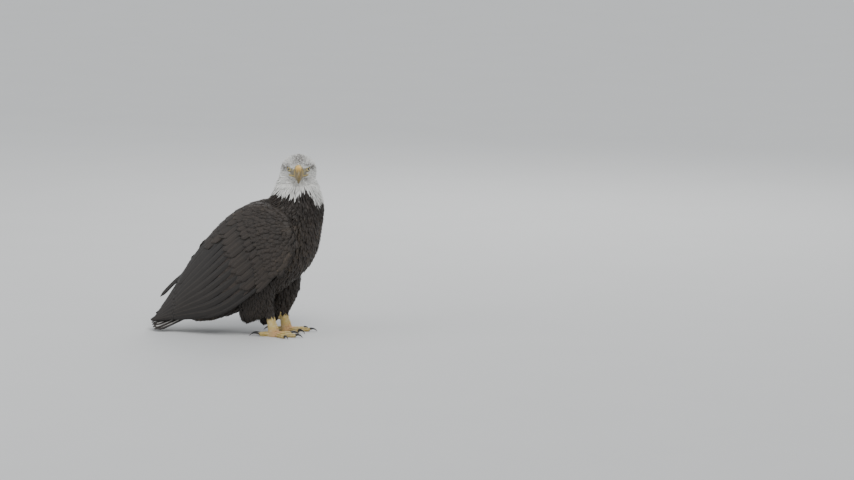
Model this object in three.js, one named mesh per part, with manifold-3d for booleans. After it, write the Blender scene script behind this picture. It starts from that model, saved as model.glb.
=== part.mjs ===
// A bald eagle standing on level ground, life size, in millimetres.
// +X is the way the body faces, +Y is the bird's left and +Z is up. The head is turned to the bird's right.
// The body is one form, parted into its named pieces by thin cuts: each piece is cut back by a slightly
// larger copy of the neighbour that lies over it.
import * as THREE from "three";
import { mergeVertices } from "three/addons/utils/BufferGeometryUtils.js";
import Module from "manifold-3d";

const wasm = await Module();
wasm.setup();

// ---------- driving dimensions ----------

const GAP = 0.4; // clearance between touching pieces
const PARTING = 0.001; // the cut across the neck, as a share of the ribs' whole run
const RIGHT = -1; // the sign of Y on each side of the bird
const LEFT = 1;

// The trunk and neck as ribs, from the throat to the rump. Each rib runs from a point on the back to one on
// the breast, both [x, z] in the plane of symmetry, and `half` is half its breadth.
const RIBS = [
  { back: [134, 512], front: [238, 504], half: 32 },
  { back: [126, 488], front: [254, 480], half: 48 },
  { back: [113, 456], front: [264, 446], half: 64 },
  { back: [100, 430], front: [272, 402], half: 79 },
  { back: [64, 414], front: [266, 346], half: 92 },
  { back: [22, 398], front: [258, 292], half: 100 },
  { back: [-20, 370], front: [242, 240], half: 103 },
  { back: [-62, 328], front: [202, 190], half: 101 },
  { back: [-102, 284], front: [150, 146], half: 93 },
  { back: [-136, 238], front: [92, 108], half: 80 },
  { back: [-160, 194], front: [20, 74], half: 64 },
  { back: [-177, 154], front: [-60, 43], half: 49 },
  { back: [-192, 118], front: [-132, 30], half: 32 },
  { back: [-206, 96], front: [-172, 42], half: 15 },
];
const NECK_TO_TRUNK = 3 / 13; // where along the ribs the neck ends
const RIB_FULLNESS = 2.25; // exponent of the ribs' superellipse
const BREAST_NARROWING = 0.03; // how much narrower a rib is at the breast than at the back

// The head in its own frame: the origin is midway between the eyes, x runs to the bill, y to its left, z up.
// Each station is [x, top, bottom, half breadth].
const HEAD_AT = [197, -18, 528];
const HEAD_TURN = THREE.MathUtils.degToRad(-76);
const HEAD_NOD = THREE.MathUtils.degToRad(2);
const HEAD_STATIONS = [
  [-66, 8, -28, 16],
  [-59, 24, -46, 34],
  [-45, 36, -60, 50],
  [-27, 42, -68, 58],
  [-8, 42.5, -67, 51.5],
  [8, 37.5, -59, 37],
  [20, 30, -48, 28],
  [29, 22.5, -40, 21],
  [36, 16, -33, 15.5],
];
const HEAD_FULLNESS = 2.1; // exponent of the head's superellipse
const EYE_RADIUS = 11;
const EYE_AT = [11, 24.5, 0.5];
const BROW = { x: 11, reach: 16, above: 30, spread: 14, height: 4 };
const SOCKET = { x: 14, reach: 12, above: 0, spread: 16, height: -4 };

// The bill, as stations from its base to its tip: [ridge x, ridge z, edge x, edge z, half breadth]. The ridge
// is the outline of the whole bill, and the edge is where its two halves meet.
const BILL_UPPER = [
  [24, 15, 24, -17, 14.5],
  [40, 14.5, 39, -18, 14],
  [52, 11.5, 50, -19.5, 12.5],
  [62, 5, 59, -21, 10.5],
  [70, -4, 66, -23.5, 8],
  [75, -14, 70, -27.5, 6],
  [77, -25, 72.5, -32, 3.8],
  [76, -34.5, 74, -37, 1.5],
];
const BILL_LOWER = [
  [20, -33, 20, -18.5, 12.5],
  [36, -34, 36, -19.5, 11.5],
  [50, -33, 50, -21.5, 9.5],
  [59, -31, 59, -23.5, 6.5],
  [64.5, -29, 65, -26, 3.2],
];
const BILL_FLAT = 0.06; // how far each half's flat side lies past the edge, as a share of its height

const BILL_ROUNDNESS = 0.8; // exponent that rounds the bill's sides

// The folded wing's inner face as ribs from the wrist to the wing tip. Each runs from the back down to the
// wing's lower edge; upper and lower are [x, z], and yUpper and yLower are their distances from the plane of
// symmetry.
const WING_RIBS = [
  { upper: [182, 374], lower: [204, 330], yUpper: 77, yLower: 88 },
  { upper: [142, 402], lower: [200, 288], yUpper: 62, yLower: 103 },
  { upper: [78, 410], lower: [170, 240], yUpper: 44, yLower: 112 },
  { upper: [20, 394], lower: [118, 194], yUpper: 30, yLower: 115 },
  { upper: [-36, 353], lower: [58, 142], yUpper: 26, yLower: 112 },
  { upper: [-88, 300], lower: [-6, 98], yUpper: 24, yLower: 103 },
  { upper: [-134, 242], lower: [-66, 72], yUpper: 22, yLower: 90 },
  { upper: [-172, 189], lower: [-122, 62], yUpper: 19, yLower: 74 },
  { upper: [-205, 139], lower: [-172, 57], yUpper: 15, yLower: 57 },
  { upper: [-236, 94], lower: [-214, 53], yUpper: 12, yLower: 42 },
  { upper: [-264, 61], lower: [-250, 47], yUpper: 12, yLower: 32 },
  { upper: [-286, 47], lower: [-282, 41], yUpper: 13, yLower: 26 },
];
const WING_ROLL_FROM = 0.6; // where along the wing it begins to roll with the tail
const WING_SKIN = 16; // thickness of the wing at its front
const VANE_STACK = 9; // thickness of the stacked secondaries at their tips
const WING_EDGE = 0.5; // what the thickness tends to at the two edges, as a share of that in the middle
const WING_EDGES_AT = [0.12, 0.88]; // where the edges lie on the half wave that thins the wing towards them
const RIM_PER_GAP = 1 / 300; // how far a grown copy's rim moves along the wing for each millimetre it grows
const RIM_ROUND = 3; // how much further it moves round the wing
const PANEL_END = 0.74; // where along the wing the longest secondaries end
const PANEL_SLANT = 0.1; // how much sooner they end at the back
const SECONDARY_TIPS = 6;
const PRIMARY_TIPS = 5;
const PRIMARY_STEP = 3.6; // the primaries' inner face lies this far outside the wing's
const PRIMARY_STACK = 4.6; // their thickness at the root, and half that at the tip
const PRIMARY_ROOT = 0.008; // how far under the secondaries the primaries begin
const PRIMARY_SHORTEST = 0.86; // where the shortest primary at the back ends
const TIP_SCALLOP = 0.014; // how far each rounded vane tip reaches past its neighbours' notch
const TIP_BLUNTNESS = 0.6; // exponent that broadens each tip

// One slipped feather of the left wing, lying across the back: [x, y, z] of its root and its tip.
const LOOSE_ROOT = [-176, 16, 186];
const LOOSE_TIP = [-256, -4, 106];
const LOOSE_WIDTH = 15;
const LOOSE_NARROWEST = 0.25; // its width at the ends, as a share of that in the middle
const LOOSE_ENDS_AT = [0.12, 0.94]; // where its root and tip lie on the half wave that shapes its outline
const LOOSE_THICKNESS = 2;
const LOOSE_CAMBER = 2.5; // how far its edges droop below its shaft
const LOOSE_BEND = 4; // how far its middle is lifted
const LOOSE_LIFT = 3; // how far it stands off the line from root to tip
const LOOSE_ROLL = THREE.MathUtils.degToRad(50); // how far its face is turned to the bird's right

// The tail, a closed fan arched over its ridge.
const TAIL_BASE = [-108, 0, 100];
const TAIL_TIP = [-290, 0, 33];
const TAIL_HALF_BASE = 34;
const TAIL_HALF_TIP = 58;
const TAIL_ARCH = THREE.MathUtils.degToRad(60);
const TAIL_ROLL = THREE.MathUtils.degToRad(12);
const TAIL_THICKNESS = 4.5;
const TAIL_FEATHERS = 12;
const TAIL_GRADUATION = 0.08; // how much shorter the outer feathers are
const TAIL_SCALLOP = 0.024;
const TAIL_TAPER = 0.8; // exponent of the tail's widening from base to tip
const TAIL_RIM_ALONG = 1 / 200; // how far a grown copy's rim moves along the tail per millimetre it grows
const TAIL_RIM_ACROSS = 1 / 50;

// The legs. The left foot is set this far ahead of the right one.
const STRIDE = 15;
const KNEE_AHEAD = 56; // how far the left knee is ahead of the right one
const TROUSERS_AHEAD = 29; // the same for the trousers' lower ends
const TROUSERS_DROP = 20; // how much lower the left trousers hang
const KNEE_BEND = [60, 150]; // the heights between which the left leg's lead passes from trousers to knee
// The feathered thigh and shank, from the hip down: [x, y, z, half length, half breadth, how far each section
// rises towards its front]. The trousers hang behind the shank.
const THIGH = [
  [68, 44, 232, 52, 34, 0],
  [70, 54, 190, 60, 40, 0],
  [68, 57, 150, 62, 38, 0],
  [66, 56, 112, 60, 31, 5],
  [66, 54, 82, 56, 23, 12],
  [66, 53, 62, 47, 16, 15],
  [68, 53, 51, 33, 9, 12],
];
const TARSUS_TOP = [101, 53, 108];
const BALL_AT = [123, 52, 15];
const TARSUS_RADIUS = 13.5;
const BALL_RADIUS = 18.5;
const BALL_FLARE = [0.4, 0.75]; // where down the shank it widens into the ball
// Each toe: its direction from the way the body faces, positive away from the other foot, its length, its
// radii at root and tip, the number of its pads and the radius of its claw's curve.
const TOES = {
  hallux: { turn: 172, length: 32, root: 8.6, tip: 6.6, pads: 2, clawCurve: 24 },
  inner: { turn: -32, length: 42, root: 8.4, tip: 6.4, pads: 2, clawCurve: 21 },
  middle: { turn: 8, length: 61, root: 8.4, tip: 5.8, pads: 3, clawCurve: 17.5 },
  outer: { turn: 42, length: 47, root: 7.8, tip: 5.4, pads: 3, clawCurve: 15.5 },
};
const TOE_ROOT = 6; // how far inside the ball's edge a toe's length begins
const TOE_HEIGHT = 0.9; // the height of a toe's middle, as a share of its radius
const PAD_HOLLOW = 0.93; // a toe's radius between its pads, as a share of the plain one
const PAD_SWELL = 0.09; // how much of the plain radius a pad adds
const CLAW_BASE = 0.86; // a claw's radius at its base, as a share of its toe's at the tip
const CLAW_HEIGHT = 0.95; // the height of its base, in the same measure
const CLAW_TIP = 0.5;
const CLAW_TAPER = 1.15; // exponent of its taper
const CLAW_FLATNESS = 0.8; // its breadth, as a share of its depth
const CLAW_SEAT = 3; // how deep a claw begins inside its toe
const CLAW_RISE = THREE.MathUtils.degToRad(40);

// How finely each form is faceted: steps along it and sides round it.
const FACETS = {
  neck: [5, 20],
  trunk: [12, 20],
  head: [11, 18],
  bill: [8, 10],
  eye: [12, 8],
  panel: [8, 2],
  primaries: [4, 2],
  feather: [8, 4],
  tail: [4, 2],
  thigh: [7, 12],
  tarsus: [7, 10],
  toe: [2, 8],
  claw: [6, 6],
};

// ---------- solids from surfaces ----------

const vec = (x, y, z) => new THREE.Vector3(x, y, z);
const lerp = THREE.MathUtils.lerp;
const smoothstep = THREE.MathUtils.smoothstep;
const bump = (value, centre, spread) => Math.exp(-(((value - centre) / spread) ** 2));
const signedPower = (value, power) => Math.sign(value) * Math.abs(value) ** power;

// A smooth curve through rows of up to three numbers, read at t from 0 to 1. Past its ends it runs straight.
function through(rows) {
  const curve = new THREE.CatmullRomCurve3(rows.map((r) => vec(r[0], r[1] ?? 0, r[2] ?? 0)));
  const length = curve.getLength();
  return (t) => {
    const near = THREE.MathUtils.clamp(t, 0, 1);
    const at = curve.getPoint(near);
    return near === t ? at : at.addScaledVector(curve.getTangent(near), (t - near) * length);
  };
}

// A solid from points and triangles, turned to face outwards.
function solidFrom(points, faces) {
  const geometry = new THREE.BufferGeometry().setFromPoints(points);
  geometry.setIndex(faces.flat());
  const merged = mergeVertices(geometry, 1e-4);
  const triVerts = new Uint32Array(merged.index.array);
  const vertProperties = new Float32Array(merged.attributes.position.array);
  const made = new wasm.Manifold(new wasm.Mesh({ numProp: 3, vertProperties, triVerts }));
  if (made.volume() > 0) return made;
  return new wasm.Manifold(new wasm.Mesh({ numProp: 3, vertProperties, triVerts: triVerts.reverse() }));
}

// The side faces between rings of points that close on themselves.
function walls(rings) {
  const n = rings[0].length;
  const faces = [];
  for (let i = 0; i + 1 < rings.length; i++) {
    for (let j = 0; j < n; j++) {
      const a = i * n + j;
      const b = i * n + ((j + 1) % n);
      faces.push([a, b, b + n], [a, b + n, a + n]);
    }
  }
  return faces;
}

// A round form through rings of points, each end closed by a fan about its centre.
function loft(rings) {
  const n = rings[0].length;
  const points = rings.flat();
  const faces = walls(rings);
  for (const [ring, first, turned] of [[rings[0], 0, true], [rings.at(-1), points.length - n, false]]) {
    const centre = ring.reduce((sum, p) => sum.add(p), vec(0, 0, 0)).divideScalar(n);
    const hub = points.push(centre) - 1;
    for (let j = 0; j < n; j++) {
      const a = first + j;
      const b = first + ((j + 1) % n);
      faces.push(turned ? [b, a, hub] : [a, b, hub]);
    }
  }
  return solidFrom(points, faces);
}

// A plate between two surfaces: outer(u, v) and inner(u, v), with u along it and v across it, both 0 to 1.
function plate(outer, inner, along, across) {
  const rings = [];
  for (let i = 0; i <= along; i++) {
    const ring = [];
    for (let j = 0; j <= across; j++) ring.push(outer(i / along, j / across));
    for (let j = across; j >= 0; j--) ring.push(inner(i / along, j / across));
    rings.push(ring);
  }
  const faces = walls(rings);
  const n = rings[0].length;
  for (const [first, turned] of [[0, true], [along * n, false]]) {
    for (let j = 0; j < across; j++) {
      const [a, b, c, d] = [j, j + 1, n - 2 - j, n - 1 - j].map((k) => first + k);
      faces.push(...(turned ? [[b, a, c], [c, a, d]] : [[a, b, c], [a, c, d]]));
    }
  }
  return solidFrom(rings.flat(), faces);
}

// The unit normal of a surface at (u, v), from two small steps along it.
function normalOf(surface, u, v, side) {
  const step = 0.004;
  const along = surface(u + step, v).sub(surface(u - step, v));
  const across = surface(u, v + step).sub(surface(u, v - step));
  return along.cross(across).normalize().multiplyScalar(side);
}

const sphere = (centre, radius) => {
  const geometry = new THREE.SphereGeometry(radius, ...FACETS.eye).translate(centre.x, centre.y, centre.z);
  geometry.deleteAttribute("normal").deleteAttribute("uv");
  const merged = mergeVertices(geometry, 1e-4);
  const vertProperties = new Float32Array(merged.attributes.position.array);
  return new wasm.Manifold(
    new wasm.Mesh({ numProp: 3, vertProperties, triVerts: new Uint32Array(merged.index.array) }),
  );
};

const largest = (solid) => solid.decompose().reduce((a, b) => (a.volume() > b.volume() ? a : b));
const cutBy = (solid, tools) => largest(tools.reduce((left, tool) => left.subtract(tool), solid));

// ---------- neck and trunk ----------

const ribBack = through(RIBS.map((r) => [r.back[0], 0, r.back[1]]));
const ribFront = through(RIBS.map((r) => [r.front[0], 0, r.front[1]]));
const ribHalf = through(RIBS.map((r) => [r.half]));

function ribRing(t, grow, sides) {
  const centre = ribBack(t).add(ribFront(t)).multiplyScalar(0.5);
  const reach = ribBack(t).sub(centre);
  const depth = reach.length() + grow;
  reach.normalize();
  const ring = [];
  for (let j = 0; j < sides; j++) {
    const angle = (2 * Math.PI * j) / sides;
    const toBack = signedPower(Math.cos(angle), 2 / RIB_FULLNESS);
    const toSide = signedPower(Math.sin(angle), 2 / RIB_FULLNESS);
    const breadth = (ribHalf(t).x + grow) * (1 + BREAST_NARROWING * toBack);
    ring.push(centre.clone().addScaledVector(reach, toBack * depth).add(vec(0, toSide * breadth, 0)));
  }
  return ring;
}

function ribLoft(from, to, [stations, sides], grow = 0) {
  const rings = [];
  for (let i = 0; i <= stations; i++) rings.push(ribRing(lerp(from, to, i / stations), grow, sides));
  return loft(rings);
}

// ---------- head and bill ----------

const headPlace = new THREE.Matrix4()
  .makeTranslation(...HEAD_AT)
  .multiply(new THREE.Matrix4().makeRotationZ(HEAD_TURN))
  .multiply(new THREE.Matrix4().makeRotationY(HEAD_NOD));
const onHead = (x, y, z) => vec(x, y, z).applyMatrix4(headPlace);

// The brow stands out over each eye, and the face is drawn in round it. `above` is in degrees over the level.
function faceRelief(x, above) {
  return [BROW, SOCKET].reduce(
    (sum, form) => sum + form.height * bump(x, form.x, form.reach) * bump(above, form.above, form.spread),
    0,
  );
}

function headSolid(grow = 0) {
  const outline = through(HEAD_STATIONS.map(([x, top, bottom]) => [x, top, bottom]));
  const half = through(HEAD_STATIONS.map((station) => [station[3]]));
  const [stations, sides] = FACETS.head;
  const rings = [];
  for (let i = 0; i <= stations; i++) {
    const t = i / stations;
    const { x, y: top, z: bottom } = outline(t);
    const ring = [];
    for (let j = 0; j < sides; j++) {
      const angle = (2 * Math.PI * j) / sides;
      const above = THREE.MathUtils.radToDeg(Math.asin(Math.cos(angle)));
      const relief = grow + faceRelief(x, above);
      const rise = signedPower(Math.cos(angle), 2 / HEAD_FULLNESS) * ((top - bottom) / 2 + relief);
      const side = signedPower(Math.sin(angle), 2 / HEAD_FULLNESS) * (half(t).x + relief);
      ring.push(onHead(x, side, (top + bottom) / 2 + rise));
    }
    rings.push(ring);
  }
  return loft(rings);
}

// One half of the bill: each ring is an arch over a nearly flat side, which faces the other half.
function billHalf(stations, grow = 0) {
  const ridge = through(stations.map((s) => [s[0], s[1]]));
  const edge = through(stations.map((s) => [s[2], s[3]]));
  const half = through(stations.map((s) => [s[4]]));
  const [steps, sides] = FACETS.bill;
  const rings = [];
  for (let i = 0; i <= steps; i++) {
    const t = i / steps;
    const away = ridge(t).sub(edge(t));
    const height = away.length() + grow;
    away.normalize();
    const ring = [];
    for (let j = 0; j < sides; j++) {
      const angle = (2 * Math.PI * (j + 0.5)) / sides;
      const rise = Math.cos(angle) > 0 ? Math.cos(angle) * height : -BILL_FLAT * height - grow;
      const side = signedPower(Math.sin(angle), BILL_ROUNDNESS) * (half(t).x + grow);
      const at = edge(t).addScaledVector(away, rise);
      ring.push(onHead(at.x, side, at.y));
    }
    rings.push(ring);
  }
  return loft(rings);
}

const eyeCentre = (side) => onHead(EYE_AT[0], side * EYE_AT[1], EYE_AT[2]);

// ---------- wings ----------

const wingUpper = through(WING_RIBS.map((r) => [r.upper[0], 0, r.upper[1]]));
const wingLower = through(WING_RIBS.map((r) => [r.lower[0], 0, r.lower[1]]));
const wingSpread = through(WING_RIBS.map((r) => [r.yUpper, r.yLower]));

// A point on the folded wing's inner face: s runs from the wrist to the tip and v from the back to the lower
// edge. Across the wing the surface is a quarter of an ellipse, level at the back and upright at the lower
// edge. Towards its tip the wing rolls with the tail, which it lies on.
function wingSurface(side, s, v) {
  const angle = (Math.PI / 2) * v;
  const at = wingUpper(s).lerp(wingLower(s), 1 - Math.cos(angle));
  const { x: near, y: far } = wingSpread(s);
  at.y = side * lerp(near, far, Math.sin(angle));
  at.z += at.y * Math.tan(TAIL_ROLL) * smoothstep(s, WING_ROLL_FROM, 1);
  return at;
}

// A layer of the wing that begins `height` outside its inner face, and runs from `start(v)` to `end(v)`.
function wingLayer(side, start, end, height, thickness, [along, across], grow) {
  const rim = grow * RIM_PER_GAP;
  const surface = (s, v) => wingSurface(side, s, v);
  const raised = (u, v, by) => {
    const s = lerp(start(v) - rim, end(v) + rim, u);
    const round = lerp(-RIM_ROUND * rim, 1 + RIM_ROUND * rim, v);
    return surface(s, round).addScaledVector(normalOf(surface, s, round, -side), by);
  };
  return plate(
    (u, v) => raised(u, v, height - grow),
    (u, v) => raised(u, v, height + thickness(u, v) + grow),
    along,
    across,
  );
}

// How far a row of `count` rounded tips reaches past its notches at v.
const scallop = (v, count) => TIP_SCALLOP * Math.abs(Math.sin(Math.PI * count * v)) ** TIP_BLUNTNESS;

const panelEnd = (v) => PANEL_END - PANEL_SLANT * (1 - v);

function wingPanel(side, grow = 0) {
  const end = (v) => panelEnd(v) + scallop(v, SECONDARY_TIPS);
  const swell = (v) => lerp(WING_EDGE, 1, Math.sin(Math.PI * lerp(...WING_EDGES_AT, v)));
  const thickness = (u, v) => lerp(WING_SKIN, VANE_STACK, u) * swell(v);
  const [along, perTip] = FACETS.panel;
  return wingLayer(side, () => 0, end, 0, thickness, [along, perTip * SECONDARY_TIPS], grow);
}

// The primaries' tips step down towards the back, the longest at the lower edge.
function primaries(side, grow = 0) {
  const start = (v) => panelEnd(v) - PRIMARY_ROOT;
  const rank = (v) => Math.min(PRIMARY_TIPS - 1, Math.floor(v * PRIMARY_TIPS)) / (PRIMARY_TIPS - 1);
  const end = (v) => lerp(PRIMARY_SHORTEST, 1, rank(v)) - TIP_SCALLOP + scallop(v, PRIMARY_TIPS);
  const thickness = (u) => lerp(PRIMARY_STACK, PRIMARY_STACK / 2, u);
  const [along, perTip] = FACETS.primaries;
  return wingLayer(side, start, end, PRIMARY_STEP, thickness, [along, perTip * PRIMARY_TIPS], grow);
}

function looseFeather(grow = 0) {
  const root = vec(...LOOSE_ROOT);
  const run = vec(...LOOSE_TIP).sub(root);
  const way = run.clone().normalize();
  const across = way.clone().cross(vec(0, 0, 1)).normalize().applyAxisAngle(way, -LOOSE_ROLL);
  const up = across.clone().cross(way);
  const at = (u, v, lift) => {
    const shape = Math.sin(Math.PI * lerp(...LOOSE_ENDS_AT, u));
    const width = LOOSE_WIDTH * lerp(LOOSE_NARROWEST, 1, shape) + grow;
    const side = 2 * v - 1;
    const arch = LOOSE_LIFT - LOOSE_CAMBER * side * side + LOOSE_BEND * Math.sin(Math.PI * u);
    const middle = root.clone().addScaledVector(run, u);
    return middle.addScaledVector(across, side * (width / 2)).addScaledVector(up, arch + lift);
  };
  return plate((u, v) => at(u, v, LOOSE_THICKNESS + grow), (u, v) => at(u, v, -grow), ...FACETS.feather);
}

// ---------- tail ----------

function tailSurface(u, v, lift) {
  const run = vec(...TAIL_TIP).sub(vec(...TAIL_BASE));
  const up = vec(0, 1, 0).cross(run).normalize();
  const radius = lerp(TAIL_HALF_BASE, TAIL_HALF_TIP, u ** TAIL_TAPER) / Math.sin(TAIL_ARCH);
  const side = (radius + lift) * Math.sin(TAIL_ARCH * v);
  const rise = (radius + lift) * Math.cos(TAIL_ARCH * v) - radius;
  const rolled = new THREE.Vector2(side, rise).rotateAround(new THREE.Vector2(0, 0), TAIL_ROLL);
  const at = vec(...TAIL_BASE).addScaledVector(run, u).addScaledVector(up, rolled.y);
  at.y += rolled.x;
  return at;
}

// The vane tips make the tail's scalloped end, and whatever would reach below the ground is flattened on it.
function tailSolid(grow = 0) {
  const end = (v) => {
    const tip = Math.abs(Math.sin((Math.PI * TAIL_FEATHERS * (v + 1)) / 2)) ** TIP_BLUNTNESS;
    return 1 - TAIL_GRADUATION * v * v - TAIL_SCALLOP * (1 - tip) + grow * TAIL_RIM_ALONG;
  };
  const at = (u, v, lift) => {
    const side = 2 * v - 1;
    const placed = tailSurface(u * end(side), side * (1 + grow * TAIL_RIM_ACROSS), lift);
    return placed.setZ(Math.max(placed.z, 0));
  };
  const thickness = TAIL_THICKNESS / 2 + grow;
  const [along, perTip] = FACETS.tail;
  const upper = (u, v) => at(u, v, thickness);
  const lower = (u, v) => at(u, v, -thickness);
  return plate(upper, lower, along, perTip * TAIL_FEATHERS);
}

// ---------- legs and feet ----------

const onLeg = (side, x, y, z) => vec(x + (side === LEFT ? STRIDE : 0), side * y, z);

// The left knee is bent more than the right one, so its thigh is further ahead and its trousers hang lower.
function onThigh(side, x, y, z, bent) {
  const at = onLeg(side, x, y, z);
  if (side === RIGHT) return at;
  return at.add(vec(lerp(TROUSERS_AHEAD, KNEE_AHEAD, bent) - STRIDE, 0, -TROUSERS_DROP * (1 - bent)));
}

function thighSolid(side, grow = 0) {
  const centre = through(THIGH.map(([x, y, z]) => [x, y, z]));
  const section = through(THIGH.map(([, , , length, breadth, tilt]) => [length, breadth, tilt]));
  const [stations, sides] = FACETS.thigh;
  const rings = [];
  for (let i = 0; i <= stations; i++) {
    const { x, y, z } = centre(i / stations);
    const { x: length, y: breadth, z: tilt } = section(i / stations);
    const drop = i === 0 ? grow : i === stations ? -grow : 0;
    const bent = smoothstep(z, ...KNEE_BEND);
    const ring = [];
    for (let j = 0; j < sides; j++) {
      const angle = (2 * Math.PI * j) / sides;
      const dx = (length + grow) * Math.cos(angle);
      const dy = (breadth + grow) * Math.sin(angle);
      ring.push(onThigh(side, x + dx, y + dy, z + tilt * Math.cos(angle) + drop, bent));
    }
    rings.push(ring);
  }
  return loft(rings);
}

// A tube of round sections along a curve, flattened where it would reach below the ground.
function tube(curve, radius, [steps, sides], flatten = 1) {
  const rings = [];
  for (let i = 0; i <= steps; i++) {
    const t = i / steps;
    const at = curve(t);
    const ahead = curve(t + 0.01).sub(curve(t - 0.01)).normalize();
    const across = (Math.abs(ahead.z) > 0.9 ? vec(1, 0, 0) : vec(0, 0, 1)).cross(ahead).normalize();
    const up = ahead.clone().cross(across);
    const ring = [];
    for (let j = 0; j < sides; j++) {
      const angle = (2 * Math.PI * (j + 0.5)) / sides;
      const p = at.clone().addScaledVector(across, radius(t) * Math.cos(angle) * flatten);
      p.addScaledVector(up, radius(t) * Math.sin(angle));
      ring.push(p.setZ(Math.max(p.z, 0)));
    }
    rings.push(ring);
  }
  return loft(rings);
}

// The bare shank and the ball of the foot, where the toes meet.
function tarsusSolid(side, grow = 0) {
  const top = onLeg(side, ...TARSUS_TOP);
  const ball = onLeg(side, ...BALL_AT);
  const line = [top, top.clone().lerp(ball, 0.5), ball, ball.clone().setZ(-1)];
  const curve = through(line.map((p) => p.toArray()));
  const flare = (t) => smoothstep(t, ...BALL_FLARE);
  return tube(curve, (t) => lerp(TARSUS_RADIUS, BALL_RADIUS, flare(t)) + grow, FACETS.tarsus);
}

// A point along a toe's own line, at a distance from the ball's centre and a height over the ground.
function alongToe(side, toe, distance, height) {
  const turn = THREE.MathUtils.degToRad(toe.turn);
  const [x, y] = BALL_AT;
  return onLeg(side, x + distance * Math.cos(turn), y + distance * Math.sin(turn), height);
}

function toeSolid(side, toe, grow = 0) {
  const reach = BALL_RADIUS - TOE_ROOT + toe.length;
  const taper = (t) => lerp(toe.root, toe.tip, t);
  const curve = (t) => alongToe(side, toe, (reach + grow) * t, TOE_HEIGHT * taper(t));
  const pads = (t) => PAD_HOLLOW + PAD_SWELL * Math.abs(Math.sin(Math.PI * toe.pads * t));
  const [steps, sides] = FACETS.toe;
  return tube(curve, (t) => taper(t) * pads(t) + grow, [steps * toe.pads, sides]);
}

// A claw is an arc that rises from the toe and comes down to the ground at its tip.
function clawSolid(side, toe) {
  const reach = BALL_RADIUS - TOE_ROOT + toe.length - CLAW_SEAT;
  const base = CLAW_HEIGHT * toe.tip;
  const fall = Math.acos(Math.cos(CLAW_RISE) - (base - CLAW_TIP) / toe.clawCurve);
  const curve = (t) => {
    const angle = lerp(CLAW_RISE, -fall, t);
    const forward = toe.clawCurve * (Math.sin(CLAW_RISE) - Math.sin(angle));
    const rise = toe.clawCurve * (Math.cos(angle) - Math.cos(CLAW_RISE));
    return alongToe(side, toe, reach + forward, base + rise);
  };
  const radius = (t) => lerp(CLAW_BASE * toe.tip, CLAW_TIP, t ** CLAW_TAPER);
  return tube(curve, radius, FACETS.claw, CLAW_FLATNESS);
}

// ---------- the bird ----------

const TONES = {
  white: { color: 0xe6e3da, roughness: 0.85 },
  brown: { color: 0x2e241c, roughness: 0.8 },
  black: { color: 0x1b1714, roughness: 0.6 },
  tail: { color: 0xcfc8b8, roughness: 0.8 },
  yellow: { color: 0xd9a421, roughness: 0.5 },
  horn: { color: 0x141312, roughness: 0.3 },
  iris: { color: 0xe9d9a0, roughness: 0.1 },
};

const bird = new THREE.Group();

function add(name, solid, tone) {
  const { vertProperties, triVerts } = solid.getMesh();
  const geometry = new THREE.BufferGeometry();
  geometry.setAttribute("position", new THREE.BufferAttribute(new Float32Array(vertProperties), 3));
  geometry.setIndex(new THREE.BufferAttribute(new Uint32Array(triVerts), 1));
  geometry.computeVertexNormals();
  const mesh = new THREE.Mesh(geometry, new THREE.MeshStandardMaterial({ ...TONES[tone], metalness: 0 }));
  mesh.name = name;
  bird.add(mesh);
}

const sides = { left: LEFT, right: RIGHT };
const both = (make) => Object.values(sides).map(make);
const grownEyes = both((side) => sphere(eyeCentre(side), EYE_RADIUS + GAP));
const grownBill = [billHalf(BILL_UPPER, GAP), billHalf(BILL_LOWER, GAP)];
const grownWings = [...both((side) => wingPanel(side, GAP)), ...both((side) => primaries(side, GAP))];
const grownThighs = both((side) => thighSolid(side, GAP));
const grownHead = headSolid(GAP);

add("head", cutBy(headSolid(), [...grownBill, ...grownEyes]), "white");
add("bill_upper", billHalf(BILL_UPPER), "yellow");
add("bill_lower", cutBy(billHalf(BILL_LOWER), [grownBill[0]]), "yellow");
const neck = ribLoft(0, NECK_TO_TRUNK - PARTING / 2, FACETS.neck);
add("neck", cutBy(neck, [grownHead, ...grownBill, ...grownWings]), "white");
const trunk = ribLoft(NECK_TO_TRUNK + PARTING / 2, 1, FACETS.trunk);
add("trunk", cutBy(trunk, [...grownWings, ...grownThighs, tailSolid(GAP)]), "brown");
add("tail", cutBy(tailSolid(), grownWings), "tail");
add("loose_feather_left", cutBy(looseFeather(), grownWings), "black");

for (const [word, side] of Object.entries(sides)) {
  const grownPanel = wingPanel(side, GAP);
  const grownTarsus = tarsusSolid(side, GAP);
  add(`eye_${word}`, sphere(eyeCentre(side), EYE_RADIUS), "iris");
  add(`wing_${word}`, cutBy(wingPanel(side), [grownHead]), "brown");
  add(`primaries_${word}`, cutBy(primaries(side), [grownPanel]), "black");
  add(`thigh_${word}`, cutBy(thighSolid(side), [grownPanel, primaries(side, GAP), grownTarsus]), "brown");
  add(`tarsus_${word}`, tarsusSolid(side), "yellow");
  const joined = [grownTarsus];
  for (const [name, toe] of Object.entries(TOES)) {
    const grownToe = toeSolid(side, toe, GAP);
    add(`toe_${name}_${word}`, cutBy(toeSolid(side, toe), joined), "yellow");
    add(`claw_${name}_${word}`, cutBy(clawSolid(side, toe), [grownToe]), "horn");
    joined.push(grownToe);
  }
}

// The origin is on the ground, under the middle of the bird.
const box = new THREE.Box3().setFromObject(bird);
bird.position.set(-(box.min.x + box.max.x) / 2, -(box.min.y + box.max.y) / 2, -box.min.z);

export default bird;
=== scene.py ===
import math

import bpy
import numpy as np
from bpy.props import FloatProperty, FloatVectorProperty, IntProperty, PointerProperty
from bpy.types import Operator, Panel, PropertyGroup
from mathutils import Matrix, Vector
from mathutils.bvhtree import BVHTree


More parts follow.
